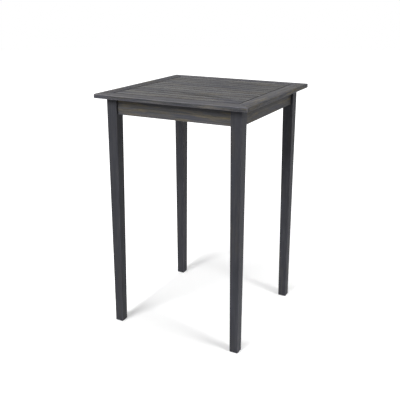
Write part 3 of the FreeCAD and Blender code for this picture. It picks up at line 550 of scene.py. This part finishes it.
def stained_group(board, grain, rub):
    """Colour, roughness and height of a stained board whose grain runs along X."""
    labels = OWN_VALUES + SHARED_VALUES
    group, inputs = new_group("stained_board", labels, ("Colour", "Roughness", "Height"))
    takes = dict(zip(labels, inputs))
    place = takes["Place"]
    number = use_group(group, board, {"Place": place, "Own Number": takes["Own Number"]})["Board"]
    feeds = {"Place": place, "Board": number, **{label: takes[label] for label in GRAIN_SIZES}}
    marks = use_group(group, grain, feeds)
    rubbed = use_group(group, rub, {"Place": place, "Width": takes["Rub Width"]})["Rubbed"]
    moved = vector("ADD", place, join(group, *(number * shift for shift in STAIN_SHIFT)))
    thin, regions = clouds(moved, "thin stain"), clouds(moved, "thin regions")

    def lay(colour, share, over):
        """Lay another colour over a colour, more strongly on boards with more contrast."""
        share = calculate("MULTIPLY", share, takes["Contrast"], clamp=True)
        return mix_colours(share, colour, takes[over])

    colour = lay(takes["Stain"], ramp(marks["Bands"], "dark bands"), "Dark Streak")
    colour = lay(colour, ramp(marks["Streaks"], "pale streaks"), "Pale Streak")
    colour = lay(colour, ramp(clouds(moved, "thick stain"), "thick stain"), "Cool Stain")
    bare = ramp(thin, "thin stain") * ramp(regions, "thin regions") * ramp(marks["Fibres"], "bare fibres")
    colour = lay(colour, bare * takes["Bare Share"], "Bare Wood")
    colour = lay(colour, ramp(marks["Fibres"], "dark fibres"), "Dark Streak")
    colour = lay(colour, ramp(marks["Pores"], "dark pores"), "Dark Streak")
    # Painted highlight on rounded edges from the pale arris colour; on the slats these edges are worn to
    # the wood instead
    arris = takes["Arris"] * takes["Arris Share"] * ramp(thin, "uneven arris")
    colour = mix_colours(arris, colour, takes["Pale Arris"])
    # Painted shade on the sides that face a gap and along the gaps
    colour = mix_colours(takes["Gap"], colour, takes["Gap Stain"])
    rub_tint = mix_colours(ramp(regions, "rub tint"), takes["Pale Streak"], takes["Bare Wood"])
    colour = mix_colours(rubbed * takes["Rub Share"], colour, rub_tint)
    tone = 1.0 + (number - 0.5) * takes["Board Contrast"]
    tone = tone + (clouds(moved, "patches") - 0.5) * takes["Cloud Contrast"]
    height = marks["Fibres"] * FIBRE_HEIGHT - marks["Pores"] * PORE_DEPTH + marks["Bands"] * BAND_HEIGHT
    roughness = takes["Roughness"] + ramp(marks["Streaks"], "dullness")
    return give(group, scaled(colour, tone), roughness, height)


def setting(label):
    """A setting of the stain by its label; a colour gets its fourth number."""
    value = getattr(bpy.context.scene.bar_table_stain, label.lower().replace(" ", "_"))
    return value if isinstance(value, float) else (*value, 1.0)


def stained_wood(kind, axis, groups):
    """Stained wood of one kind of board, whose grain runs along one axis of the table."""
    _, bare_share, arris, arris_share, gaps = WOODS[kind]
    _, tree, place = new_material(f"{kind}_wood_{axis}")
    edges = use_group(tree, groups["edges"], {"Place": place})
    feeds = {label: setting(label) for label in SHARED_VALUES}
    feeds["Place"] = take(tree, "ShaderNodeMapping", {"Vector": place, "Rotation": GRAIN_TURNS[axis]})
    feeds["Own Number"] = take(tree, "ShaderNodeAttribute", output="Fac", attribute_name="board")
    feeds["Stain"] = setting(f"{kind}_stain")
    feeds["Contrast"] = setting(f"{kind}_contrast")
    feeds["Bare Share"] = setting(bare_share)
    feeds["Arris"] = edges["Arris"]
    feeds["Pale Arris"] = setting(arris)
    feeds["Arris Share"] = setting(arris_share) * (setting("side_arris_share") if axis == "y" else 1.0)
    if gaps:
        feeds["Gap"] = gap_stain(tree, groups, gaps, place, edges)
    marks = use_group(tree, groups["board"], feeds)
    feeds = {"Strength": setting("relief_share"), "Distance": setting("relief"), "Height": marks["Height"]}
    bump = take(tree, "ShaderNodeBump", feeds)
    feeds = {"Base Color": marks["Colour"], "Roughness": marks["Roughness"], "Normal": bump}
    feeds["Specular IOR Level"] = setting("gloss")
    shader = take(tree, "ShaderNodeBsdfPrincipled", feeds)
    put(tree, "ShaderNodeOutputMaterial", {"Surface": shader})


def gap_stain(tree, groups, gaps, place, edges):
    """Painted shade of a rail or a slat on the sides that face a gap, and beside them."""
    reach = setting("seam_reach")
    if gaps == "inner side":
        half = -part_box("rail_front")[1].y
        facing = edges["Side"] * edges["Inward"]
    else:
        half = tongue_levels()[3]
        facing = edges["Side"]
    rim = {"Place": place, "Half Width": half, "Reach": reach}
    beside = use_group(tree, groups["rim"], rim)["Stained"]
    if gaps == "both sides":
        low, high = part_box(SLATS[0])
        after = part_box(SLATS[1])[0].y
        seams = {
            "Place": place, "Seam": (high.y + after) / 2, "Pitch": after - low.y,
            "Half Gap": (after - high.y) / 2, "Reach": reach,
        }
        beside = calculate("MAXIMUM", beside, use_group(tree, groups["seams"], seams)["Stained"])
    return calculate("MAXIMUM", facing, beside * setting("seam_share"))


def zinc_plate():
    """Plated steel, a little uneven."""
    _, tree, place = new_material("zinc_plate")
    plating = clouds(place, "plating")
    zinc = (*bpy.context.scene.bar_table_fasteners.zinc, 1.0)
    feeds = {
        "Base Color": mix_colours(1.0, zinc, ramp(plating, "plate shade"), blend="MULTIPLY"),
        "Roughness": ramp(plating, "plate roughness"), "Metallic": 1.0,
    }
    put(tree, "ShaderNodeOutputMaterial", {"Surface": take(tree, "ShaderNodeBsdfPrincipled", feeds)})


def finishes():
    """All materials by name, made once."""
    if "zinc_plate" not in bpy.data.materials:
        groups = {
            "edges": edge_group(), "seams": seam_group(), "rim": rim_group(),
            "board": stained_group(board_group(), grain_group(), rub_group()),
        }
        for kind, look in WOODS.items():
            for axis in look[0]:
                stained_wood(kind, axis, groups)
        zinc_plate()
    return bpy.data.materials


# Meshes


def finish_piece(piece, nodes):
    """Let a new piece stand for solids and move with the table."""
    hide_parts(*nodes)
    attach(piece, BODY)


def new_piece(name, data):
    """Put a mesh, a lamp or a camera on the stage under a name."""
    piece = bpy.data.objects.new(name, data)
    bpy.context.scene.collection.objects.link(piece)
    return piece


def keep(shape, name):
    """Keep a shape as a mesh."""
    mesh = bpy.data.meshes.new(name)
    shape.to_mesh(mesh)
    shape.free()
    return mesh


def merged_copy(node):
    """The triangles of a node, joined at their corners."""
    shape = bmesh.new()
    shape.from_mesh(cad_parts[node].data)
    bmesh.ops.remove_doubles(shape, verts=shape.verts, dist=WELD)
    return shape


def make_plain(piece):
    """Apply the modifiers of a piece, by keeping the mesh that they give, and shade it."""
    bpy.context.view_layer.update()
    seen = piece.evaluated_get(bpy.context.evaluated_depsgraph_get())
    mesh = bpy.data.meshes.new_from_object(seen)
    mesh.name = piece.name
    piece.modifiers.clear()
    piece.data = mesh
    if mesh.materials and mesh.materials[0] is None:
        mesh.materials.pop(index=0)
    shape = bmesh.new()
    shape.from_mesh(mesh)
    bmesh.ops.dissolve_degenerate(shape, dist=FLAW, edges=shape.edges)
    shape.to_mesh(mesh)
    shape.free()
    mesh.polygons.foreach_set("use_smooth", [True] * len(mesh.polygons))
    mesh.set_sharp_from_angle(angle=SHARP_ANGLE)


def grow(name, tree, inputs, mesh=None):
    """Run a geometry tree on a new object."""
    piece = new_piece(name, mesh or bpy.data.meshes.new(name))
    modifier = piece.modifiers.new("build", "NODES")
    modifier.node_group = tree
    for item in tree.interface.items_tree:
        if item.item_type == "SOCKET" and item.name in inputs:
            modifier[item.identifier] = inputs[item.name]
    return piece


def solid_boxes(node):
    """Lowest and highest corner of each separate solid in a node."""
    shape = merged_copy(node)
    left = set(shape.verts)
    boxes = []
    while left:
        waiting = [left.pop()]
        found = list(waiting)
        while waiting:
            vert = waiting.pop()
            near = {edge.other_vert(vert) for edge in vert.link_edges} & left
            left -= near
            waiting.extend(near)
            found.extend(near)
        boxes.append([
            Vector([pick(vert.co[axis] for vert in found) for axis in range(3)]) for pick in (min, max)
        ])
    shape.free()
    return sorted(boxes, key=lambda box: tuple(round(value, 5) for value in box[0]))


def repaint(node, finish):
    """Give a solid that is shown as it is its finish."""
    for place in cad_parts[node].material_slots:
        place.material = finishes()[finish]


# Pieces of the top


def tongue_levels():
    """Lower and upper face of the slats' tongues, and how far tongue and shoulder reach along X."""
    low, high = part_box(SLATS[0])
    points = [vert.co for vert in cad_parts[SLATS[0]].data.vertices]
    tip = [point.z for point in points if point.x > high.x - WELD]
    shoulder = max(point.x for point in points if point.z > high.z - WELD)
    return min(tip), max(tip), high.x, shoulder


def rail_mesh(name, length, width, height, sizes):
    """One mitred rail along X, its outer side on the X axis, with marked edges to round."""
    radius = sizes.tip_radius
    angles = [math.pi / 4 * step / sizes.edge_steps for step in range(sizes.edge_steps + 1)]
    tip = [(length / 2 - radius + radius * math.sin(a), radius - radius * math.cos(a)) for a in angles]
    outline = [(-x, y) for x, y in reversed(tip)] + tip
    outline += [(length / 2 - width, width), (width - length / 2, width)]
    last_tip = 2 * len(tip) - 1
    shape = bmesh.new()
    marks = shape.edges.layers.float.new("bevel_weight_edge")
    low = [shape.verts.new((x, y, 0.0)) for x, y in outline]
    high = [shape.verts.new((x, y, height)) for x, y in outline]
    shape.faces.new(low[::-1])
    shape.faces.new(high)
    for index in range(len(outline)):
        after = (index + 1) % len(outline)
        shape.faces.new((low[index], low[after], high[after], high[index]))
        for ring, outer in ((low, sizes.lower_edge), (high, sizes.upper_edge)):
            if index < last_tip:
                rounding = outer
            elif index == last_tip + 1:
                rounding = sizes.inner_edge
            else:
                rounding = sizes.mitre_edge
            shape.edges.get((ring[index], ring[after]))[marks] = rounding / sizes.upper_edge
    bmesh.ops.recalc_face_normals(shape, faces=shape.faces)
    return keep(shape, name)


def box_mesh(name, low, high):
    """A plain box, used only to cut."""
    shape = bmesh.new()
    bmesh.ops.create_cube(shape, size=1.0)
    middle, extent = (low + high) / 2, high - low
    for vert in shape.verts:
        vert.co = middle + Vector([vert.co[axis] * extent[axis] for axis in range(3)])
    return keep(shape, name)


def slot_mesh(name, play):
    """Room for the four loose splines: each lies at 45 degrees across its mitre."""
    shape = merged_copy("corner_splines")
    bmesh.ops.recalc_face_normals(shape, faces=shape.faces)
    shape.normal_update()
    for vert in shape.verts:
        vert.co += vert.calc_shell_factor() * vert.normal * play
    return keep(shape, name)


def make_rails(sizes):
    """Four mitred rails; those at the sides are grooved for the tongues."""
    under, over, tip, _ = tongue_levels()
    floor = tip + sizes.groove_end
    side_low, side_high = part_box("rail_left")
    room_low = Vector((-floor, side_low.y, under - sizes.groove_play))
    room_high = Vector((floor, side_high.y, over + sizes.groove_play))
    cutters = [
        new_piece("spline_slots", slot_mesh("spline_slots", sizes.groove_play)),
        new_piece("grooves", box_mesh("grooves", room_low, room_high)),
    ]
    for turn, side in enumerate(SIDES):
        node = f"rail_{side}"
        across = turn % 2 == 0
        bottom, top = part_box(node)
        reach = max(-bottom.x, -bottom.y, top.x, top.y)
        extent = top - bottom
        wide = min(extent.x, extent.y)
        mesh = rail_mesh(node + "_board", max(extent.x, extent.y), wide, extent.z, sizes)
        lifted = Matrix.Translation((0.0, 0.0, bottom.z))
        outward = Matrix.Translation((0.0, -reach, 0.0))
        mesh.transform(lifted @ Matrix.Rotation(turn * math.pi / 2, 4, "Z") @ outward)
        piece = new_piece(node + "_board", mesh)
        edges = piece.modifiers.new("edges", "BEVEL")
        edges.limit_method = "WEIGHT"
        edges.width = sizes.upper_edge
        edges.segments = sizes.edge_steps
        for cutter in cutters[:1] if across else cutters:
            cut = piece.modifiers.new(cutter.name, "BOOLEAN")
            cut.object = cutter
            cut.solver = "EXACT"
        make_plain(piece)
        piece.data.materials.clear()
        piece.data.materials.append(finishes()["rail_wood_x" if across else "rail_wood_y"])
        number = piece.data.attributes.new("board", "FLOAT", "FACE")
        number.data.foreach_set("value", [turn * sizes.rail_step] * len(piece.data.polygons))
        finish_piece(piece, [node])
    for cutter in cutters:
        bpy.data.objects.remove(cutter)


def shifted(shape, rise):
    """Move a shape up."""
    feeds = {"Geometry": shape, "Translation": join(shape.tree, z=rise)}
    return take(shape.tree, "GeometryNodeTransform", feeds)


def block(tree, x, y, z):
    """A block by its three sizes."""
    return take(tree, "GeometryNodeMeshCube", {"Size": join(tree, x, y, z)})


def cone(steps, bottom, top, depth, start=0.0):
    """A cone or rod round Z from a height upwards."""
    feeds = {"Vertices": steps, "Radius Bottom": bottom, "Radius Top": top, "Depth": depth}
    return shifted(take(depth.tree, "GeometryNodeMeshCone", feeds), start)


def combine(operation, first, *others):
    """Unite, cut or intersect shapes."""
    node = put(first.tree, "GeometryNodeMeshBoolean", operation=operation, solver="EXACT")
    whole = "Mesh 1" if operation == "DIFFERENCE" else "Mesh 2"
    first.tree.links.new(first.socket, node.inputs[whole])
    for other in others:
        first.tree.links.new(other.socket, node.inputs["Mesh 2"])
    return Signal(node.outputs["Mesh"])


def draw_lot(tree, most, seed):
    """A random number for each copy, from nothing to the most."""
    # Inputs 2 and 3 and output 1 are the node's least, most and result for numbers
    feeds = {2: 0.0, 3: most, 7: take(tree, "GeometryNodeInputIndex"), 8: seed}
    return take(tree, "FunctionNodeRandomValue", feeds, 1, data_type="FLOAT")


def end_tree(copies, finish):
    """Make copies real, give them their finish and lead them out."""
    tree = copies.tree
    real = take(tree, "GeometryNodeRealizeInstances", {"Geometry": copies})
    return give(tree, take(tree, "GeometryNodeSetMaterial", {"Geometry": real, "Material": finish}))


def slat_tree(labels):
    """Equal slats side by side, each a board with a tongue at each end."""
    tree, takes = new_group("slats", labels, ("Slats",), "GeometryNodeTree")
    count, pitch, width, thick, shoulder, tip, tongue_thick, height, tongue_height, seed, finish = takes
    board = block(tree, shoulder * 2.0, width, thick)
    tongue = shifted(block(tree, tip * 2.0, width, tongue_thick), tongue_height - height)
    first = join(tree, y=(count - 1.0) * pitch * -0.5, z=height)
    feeds = {"Count": count, "Start Location": first, "Offset": join(tree, y=pitch)}
    line = take(tree, "GeometryNodeMeshLine", feeds)
    feeds = {"Points": line, "Instance": combine("UNION", board, tongue)}
    boards = take(tree, "GeometryNodeInstanceOnPoints", feeds)
    feeds = {"Geometry": boards, "Name": "board", "Value": draw_lot(tree, 1.0, seed)}
    kind = "GeometryNodeStoreNamedAttribute"
    return end_tree(take(tree, kind, feeds, data_type="FLOAT", domain="INSTANCE"), finish)


def make_slats(sizes):
    """Twelve slats with eased edges."""
    low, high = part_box(SLATS[0])
    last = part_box(SLATS[-1])[0]
    under, over, tip, shoulder = tongue_levels()
    inputs = {
        "Count": len(SLATS), "Pitch": (last.y - low.y) / (len(SLATS) - 1), "Width": high.y - low.y,
        "Thickness": high.z - low.z, "Shoulder Reach": shoulder, "Tongue Reach": tip,
        "Tongue Thickness": over - under, "Height": (low.z + high.z) / 2,
        "Tongue Height": (under + over) / 2, "Seed": sizes.board_seed,
        "Finish": finishes()["slat_wood_x"],
    }
    piece = grow("slats", slat_tree(inputs), inputs)
    edges = piece.modifiers.new("edges", "BEVEL")
    edges.limit_method = "ANGLE"
    edges.width = sizes.slat_edge
    edges.segments = sizes.edge_steps - 1
    make_plain(piece)
    finish_piece(piece, SLATS)


# Screws, bolts and washers

HEXAGON = 6
CORNER_RADIUS = 1.0 / math.sqrt(3.0)
CHAMFER_DROP = 0.08
CHAMFER_FLARE = 1.6


def fastener_tree(name, labels, draw):
    """Stand a drawn shape on every point, along the point's own direction, each with its own turn."""
    tree, (points, *sizes, steps, seed, finish) = new_group(
        name, ("Points", *labels, "Steps", "Seed", "Finish"), ("Fasteners",), "GeometryNodeTree"
    )
    facing = take(tree, "GeometryNodeInputNamedAttribute", {"Name": "facing"}, data_type="FLOAT_VECTOR")
    upright = take(tree, "FunctionNodeAlignRotationToVector", {"Vector": facing})
    feeds = {"Axis": (0.0, 0.0, 1.0), "Angle": draw_lot(tree, 2 * math.pi, seed)}
    spin = take(tree, "FunctionNodeAxisAngleToRotation", feeds)
    feeds = {"Rotation": upright, "Rotate By": spin}
    turned = take(tree, "FunctionNodeRotateRotation", feeds, rotation_space="LOCAL")
    feeds = {"Points": points, "Instance": draw(steps, *sizes), "Rotation": turned}
    return end_tree(take(tree, "GeometryNodeInstanceOnPoints", feeds), finish)


def draw_screw(head, face, steps, radius, length, tip_length, arm, slot, depth):
    """A screw below its head, with a cross recess in the face of it."""
    straight = length - tip_length
    body = combine(
        "UNION", head, cone(steps, radius, radius, straight), cone(steps, radius, 0.0, tip_length, straight)
    )
    arm, depth = arm * 2.0, depth * 2.0
    bars = [block(body.tree, *size) for size in ((arm, slot, depth), (slot, arm, depth))]
    return combine("DIFFERENCE", body, *(shifted(bar, face) for bar in bars))


def draw_sunk_screw(steps, head, height, radius, *others):
    """A screw whose head is a cone below the point."""
    return draw_screw(cone(steps, head, radius, height), 0.0, steps, radius, *others)


def draw_pan_screw(steps, head, height, radius, crown_share, *others):
    """A screw whose head is a pan above the point."""
    rim, face = height * 0.5, height * -1.0
    crown = cone(steps, head * crown_share, head, rim, face)
    pan = combine("UNION", crown, cone(steps, head, head, rim, rim * -1.0))
    return draw_screw(pan, face, steps, radius, *others)


def draw_bolt(steps, flats, height, radius, length, corner_share):
    """A bolt with a chamfered hexagon head above the point and a plain shank below it."""
    corner = flats * CORNER_RADIUS
    face = height * -1.0
    hexagon = cone(HEXAGON, corner, corner, height, face)
    hood = cone(steps, corner * (corner_share - CHAMFER_DROP), corner * CHAMFER_FLARE, height, face)
    return combine("UNION", combine("INTERSECT", hexagon, hood), cone(steps, radius, radius, length))


def draw_ring(steps, outer, inner, depth):
    """A flat ring or a tube below its point."""
    bore = cone(steps, inner, inner, depth * 2.0, depth * -0.5)
    return combine("DIFFERENCE", cone(steps, outer, outer, depth), bore)


def heads_down(node, proud):
    """Places and directions of upright screws, from their heads upwards."""
    places = []
    for low, high in solid_boxes(node):
        middle = (low + high) / 2
        places.append((Vector((middle.x, middle.y, low.z - proud)), Vector((0.0, 0.0, 1.0))))
    return places


def heads_inward(node, head_height):
    """Places and directions of level screws along X or Y, with their heads towards the middle."""
    places = []
    for low, high in solid_boxes(node):
        middle, extent = (low + high) / 2, high - low
        axis = 0 if extent.x > extent.y else 1
        direction = Vector()
        direction[axis] = math.copysign(1.0, middle[axis])
        places.append((middle - direction * (extent[axis] / 2 - head_height), direction))
    return places


def along_bolts(node, depth):
    """Places and directions of what lies along the leg bolts, from its inner end outwards."""
    places = []
    for low, high in solid_boxes(node):
        middle = (low + high) / 2
        corner = Vector([math.copysign(1.0, middle.x), math.copysign(1.0, middle.y), 0.0])
        direction = corner.normalized()
        places.append((middle - direction * (depth / 2), direction))
    return places


def fasten(node, tree, places, inputs):
    """Grow one group of like fasteners in place of its solids."""
    name = f"{node[:-1]}_set"
    mesh = bpy.data.meshes.new(name)
    mesh.from_pydata([place for place, _ in places], [], [])
    facing = mesh.attributes.new("facing", "FLOAT_VECTOR", "POINT")
    for item, (_, direction) in zip(facing.data, places):
        item.vector = direction
    sizes = bpy.context.scene.bar_table_fasteners
    common = {"Steps": sizes.round_steps, "Seed": sizes.turn_seed, "Finish": finishes()["zinc_plate"]}
    piece = grow(name, tree, {**inputs, **common}, mesh)
    make_plain(piece)
    finish_piece(piece, [node])


def make_screws(sizes):
    """Countersunk screws of battens and cleats, and pan head screws of the blocks."""
    low, high = solid_boxes("batten_screws")[0]
    head = (high.y - low.y) / 2
    shank = head * sizes.shank_share
    top = {"Head Radius": head, "Head Height": head - shank, "Shank Radius": shank}
    rest = {
        "Length": high.z - low.z, "Tip Length": sizes.tip_length, "Recess Arm": sizes.recess_arm,
        "Recess Slot": sizes.recess_slot, "Recess Depth": sizes.recess_depth,
    }
    sunk = {**top, **rest}
    tree = fastener_tree("countersunk_screws", sunk, draw_sunk_screw)
    fasten("batten_screws", tree, heads_down("batten_screws", sizes.proud), sunk)
    fasten("top_screws", tree, heads_down("top_screws", sizes.proud), sunk)
    fasten("cleat_screws", tree, heads_inward("cleat_screws", -sizes.proud), sunk)
    low, high = solid_boxes("block_screws")[0]
    whole = max((high - low).x, (high - low).y)
    pan = {**top, "Crown Share": sizes.crown_share, **rest}
    pan.update({"Head Height": sizes.pan_height, "Length": whole - sizes.pan_height})
    tree = fastener_tree("pan_head_screws", pan, draw_pan_screw)
    fasten("block_screws", tree, heads_inward("block_screws", sizes.pan_height), pan)


def make_bolts(sizes):
    """Hexagon bolts, washers and inserts of the legs."""
    low, high = solid_boxes("leg_bolts")[0]
    whole = math.sqrt(2.0) * (high - low).x - (sizes.bolt_flats / 2 + sizes.bolt_shank)
    bolt = {
        "Across Flats": sizes.bolt_flats, "Head Height": sizes.bolt_head,
        "Shank Radius": sizes.bolt_shank, "Length": whole - sizes.bolt_head,
        "Corner Share": sizes.corner_share,
    }
    seats = along_bolts("bolt_washers", sizes.washer_depth)
    fasten("leg_bolts", fastener_tree("hexagon_bolts", bolt, draw_bolt), seats, bolt)
    labels = ("Outer Radius", "Inner Radius", "Depth")
    rings = fastener_tree("rings", labels, draw_ring)
    washer = dict(zip(labels, (sizes.washer_radius, sizes.washer_bore, sizes.washer_depth)))
    fasten("bolt_washers", rings, seats, washer)
    insert = dict(zip(labels, (sizes.insert_radius, sizes.insert_bore, sizes.insert_depth)))
    fasten("leg_inserts", rings, along_bolts("leg_inserts", sizes.insert_depth), insert)


# Stage


def distance_from(place, centre):
    """How far a place is from a centre."""
    return vector("DISTANCE", place, centre, output="Value")


def seen_directly(tree):
    """One for rays from the camera, also by way of metal or glass, and none for light."""
    path = {socket.name: Signal(socket) for socket in put(tree, "ShaderNodeLightPath").outputs}
    mirrored = calculate("MAXIMUM", path["Is Glossy Ray"], path["Is Transmission Ray"])
    return calculate("MAXIMUM", path["Is Camera Ray"], mirrored)


def make_floor(stage):
    """A round pale floor that keeps the table's shadow near the middle, hides it with painted light beside
    the table and far off, looks white, and is clear from below.
    """
    shape = bmesh.new()
    bmesh.ops.create_circle(shape, cap_ends=True, segments=FLOOR_SIDES, radius=stage.floor_radius)
    floor = new_piece("floor", keep(shape, "floor"))
    material, tree, place = new_material("pale_floor")
    away = distance_from(place, stage.shadow_centre)
    shade = limit(away, *stage.floor_fade, *stage.floor_shades)
    matt = take(tree, "ShaderNodeBsdfDiffuse", {"Color": shade})
    beyond = distance_from(place, stage.bright_spot)
    light = limit(beyond, 0.0, stage.dim_distance, *stage.floor_light)
    # Painted light that lightens the table's shadows, and hides them far from the shadow centre and beside
    # the table
    around = limit(away, *stage.added_reach, *stage.added_white)
    sideways = calculate("ABSOLUTE", separate(place)[0])
    beside = limit(sideways, *stage.side_reach, *stage.added_white)
    lift = 1.0 - shade * light + calculate("MAXIMUM", around, beside)
    glow = take(tree, "ShaderNodeEmission", {"Color": WHITE, "Strength": seen_directly(tree) * lift})
    both = take(tree, "ShaderNodeAddShader", {0: matt, 1: glow})
    below = take(tree, "ShaderNodeNewGeometry", output="Backfacing")
    clear = take(tree, "ShaderNodeBsdfTransparent")
    shown = take(tree, "ShaderNodeMixShader", {0: below, 1: both, 2: clear})
    put(tree, "ShaderNodeOutputMaterial", {"Surface": shown})
    floor.data.materials.append(material)


def make_world(stage):
    """Even light all round, in front of a white background."""
    world = bpy.data.worlds.new("studio")
    world.use_nodes = True
    tree = world.node_tree
    tree.nodes.clear()
    strength = seen_directly(tree) * (1.0 - stage.world_light) + stage.world_light
    sky = take(tree, "ShaderNodeBackground", {"Color": WHITE, "Strength": strength})
    put(tree, "ShaderNodeOutputWorld", {"Surface": sky})
    bpy.context.scene.world = world


def make_lamp(stage, side):
    """A soft square lamp that faces a place."""
    lamp = bpy.data.lights.new(f"{side}_lamp", "AREA")
    lamp.size = getattr(stage, f"{side}_size")
    lamp.energy = getattr(stage, f"{side}_lamp")
    lamp.spread = getattr(stage, f"{side}_spread")
    holder = new_piece(f"{side}_lamp", lamp)
    place = Vector(getattr(stage, f"{side}_place"))
    way = Vector(getattr(stage, f"{side}_target")) - place
    holder.location = place
    holder.rotation_euler = way.to_track_quat("-Z", "Y").to_euler()


def make_camera(stage):
    """The photograph's camera."""
    data = bpy.data.cameras.new("camera")
    data.lens = stage.camera_lens
    data.shift_y = stage.camera_shift
    camera = new_piece("camera", data)
    camera.location = stage.camera_place
    camera.rotation_euler = (math.pi / 2 - stage.camera_pitch, 0.0, stage.camera_heading)
    bpy.context.scene.camera = camera


# Operators


class BARTABLE_OT_stage(bpy.types.Operator):
    """Set the floor, the lamps and the camera"""

    bl_idname = "bartable.stage"
    bl_label = "Stage"

    def execute(self, context):
        stage = context.scene.bar_table_stage
        make_floor(stage)
        make_world(stage)
        for side in ("right", "front"):
            make_lamp(stage, side)
        make_camera(stage)
        context.scene.view_settings.view_transform = "Standard"
        return {"FINISHED"}


class BARTABLE_OT_rails(bpy.types.Operator):
    """Make the four mitred rails"""

    bl_idname = "bartable.rails"
    bl_label = "Rails"

    def execute(self, context):
        make_rails(context.scene.bar_table_top)
        return {"FINISHED"}


class BARTABLE_OT_slats(bpy.types.Operator):
    """Make the slats of the top"""

    bl_idname = "bartable.slats"
    bl_label = "Slats"

    def execute(self, context):
        make_slats(context.scene.bar_table_top)
        return {"FINISHED"}


class BARTABLE_OT_base(bpy.types.Operator):
    """Finish the legs and aprons"""

    bl_idname = "bartable.base"
    bl_label = "Legs and Aprons"

    def execute(self, context):
        for corner in CORNERS:
            repaint(f"leg_{corner}", "leg_wood_z")
        for turn, side in enumerate(SIDES):
            repaint(f"apron_{side}", "apron_wood_y" if turn % 2 else "apron_wood_x")
        return {"FINISHED"}


class BARTABLE_OT_underside(bpy.types.Operator):
    """Finish the battens, cleats, corner blocks and splines"""

    bl_idname = "bartable.underside"
    bl_label = "Underside"

    def execute(self, context):
        for side in ("left", "right"):
            repaint(f"batten_{side}", "inner_wood_y")
            repaint(f"cleat_{side}", "inner_wood_y")
        for corner in CORNERS:
            repaint(f"block_{corner}", "inner_wood_z")
        repaint("corner_splines", "inner_wood_x")
        return {"FINISHED"}


class BARTABLE_OT_screws(bpy.types.Operator):
    """Make the wood screws"""

    bl_idname = "bartable.screws"
    bl_label = "Screws"

    def execute(self, context):
        make_screws(context.scene.bar_table_fasteners)
        return {"FINISHED"}


class BARTABLE_OT_bolts(bpy.types.Operator):
    """Make the leg bolts, washers and inserts"""

    bl_idname = "bartable.bolts"
    bl_label = "Bolts"

    def execute(self, context):
        make_bolts(context.scene.bar_table_fasteners)
        return {"FINISHED"}


OPERATORS = (
    BARTABLE_OT_stage, BARTABLE_OT_rails, BARTABLE_OT_slats, BARTABLE_OT_base,
    BARTABLE_OT_underside, BARTABLE_OT_screws, BARTABLE_OT_bolts,
)


class BARTABLE_PT_pieces(bpy.types.Panel):
    """Lists the pieces and their settings"""

    bl_label = "Bar Table"
    bl_idname = "BARTABLE_PT_pieces"
    bl_space_type = "VIEW_3D"
    bl_region_type = "UI"
    bl_category = "Bar Table"

    def draw(self, context):
        for operator in OPERATORS:
            self.layout.operator(operator.bl_idname)
        for name, group in SETTINGS.items():
            box = self.layout.box()
            for row in group.__annotations__:
                box.prop(getattr(context.scene, name), row)


def register():
    """Make the settings, operators and panel known."""
    for name, group in SETTINGS.items():
        bpy.utils.register_class(group)
        setattr(bpy.types.Scene, name, PointerProperty(type=group))
    for kind in (*OPERATORS, BARTABLE_PT_pieces):
        bpy.utils.register_class(kind)


def unregister():
    """Take them all away again."""
    for kind in (BARTABLE_PT_pieces, *reversed(OPERATORS)):
        bpy.utils.unregister_class(kind)
    for name, group in SETTINGS.items():
        delattr(bpy.types.Scene, name)
        bpy.utils.unregister_class(group)


def main():
    """Finish the table and set its stage."""
    register()
    for operator in OPERATORS:
        group, name = operator.bl_idname.split(".")
        getattr(getattr(bpy.ops, group), name)()


if __name__ == "__main__":
    main()
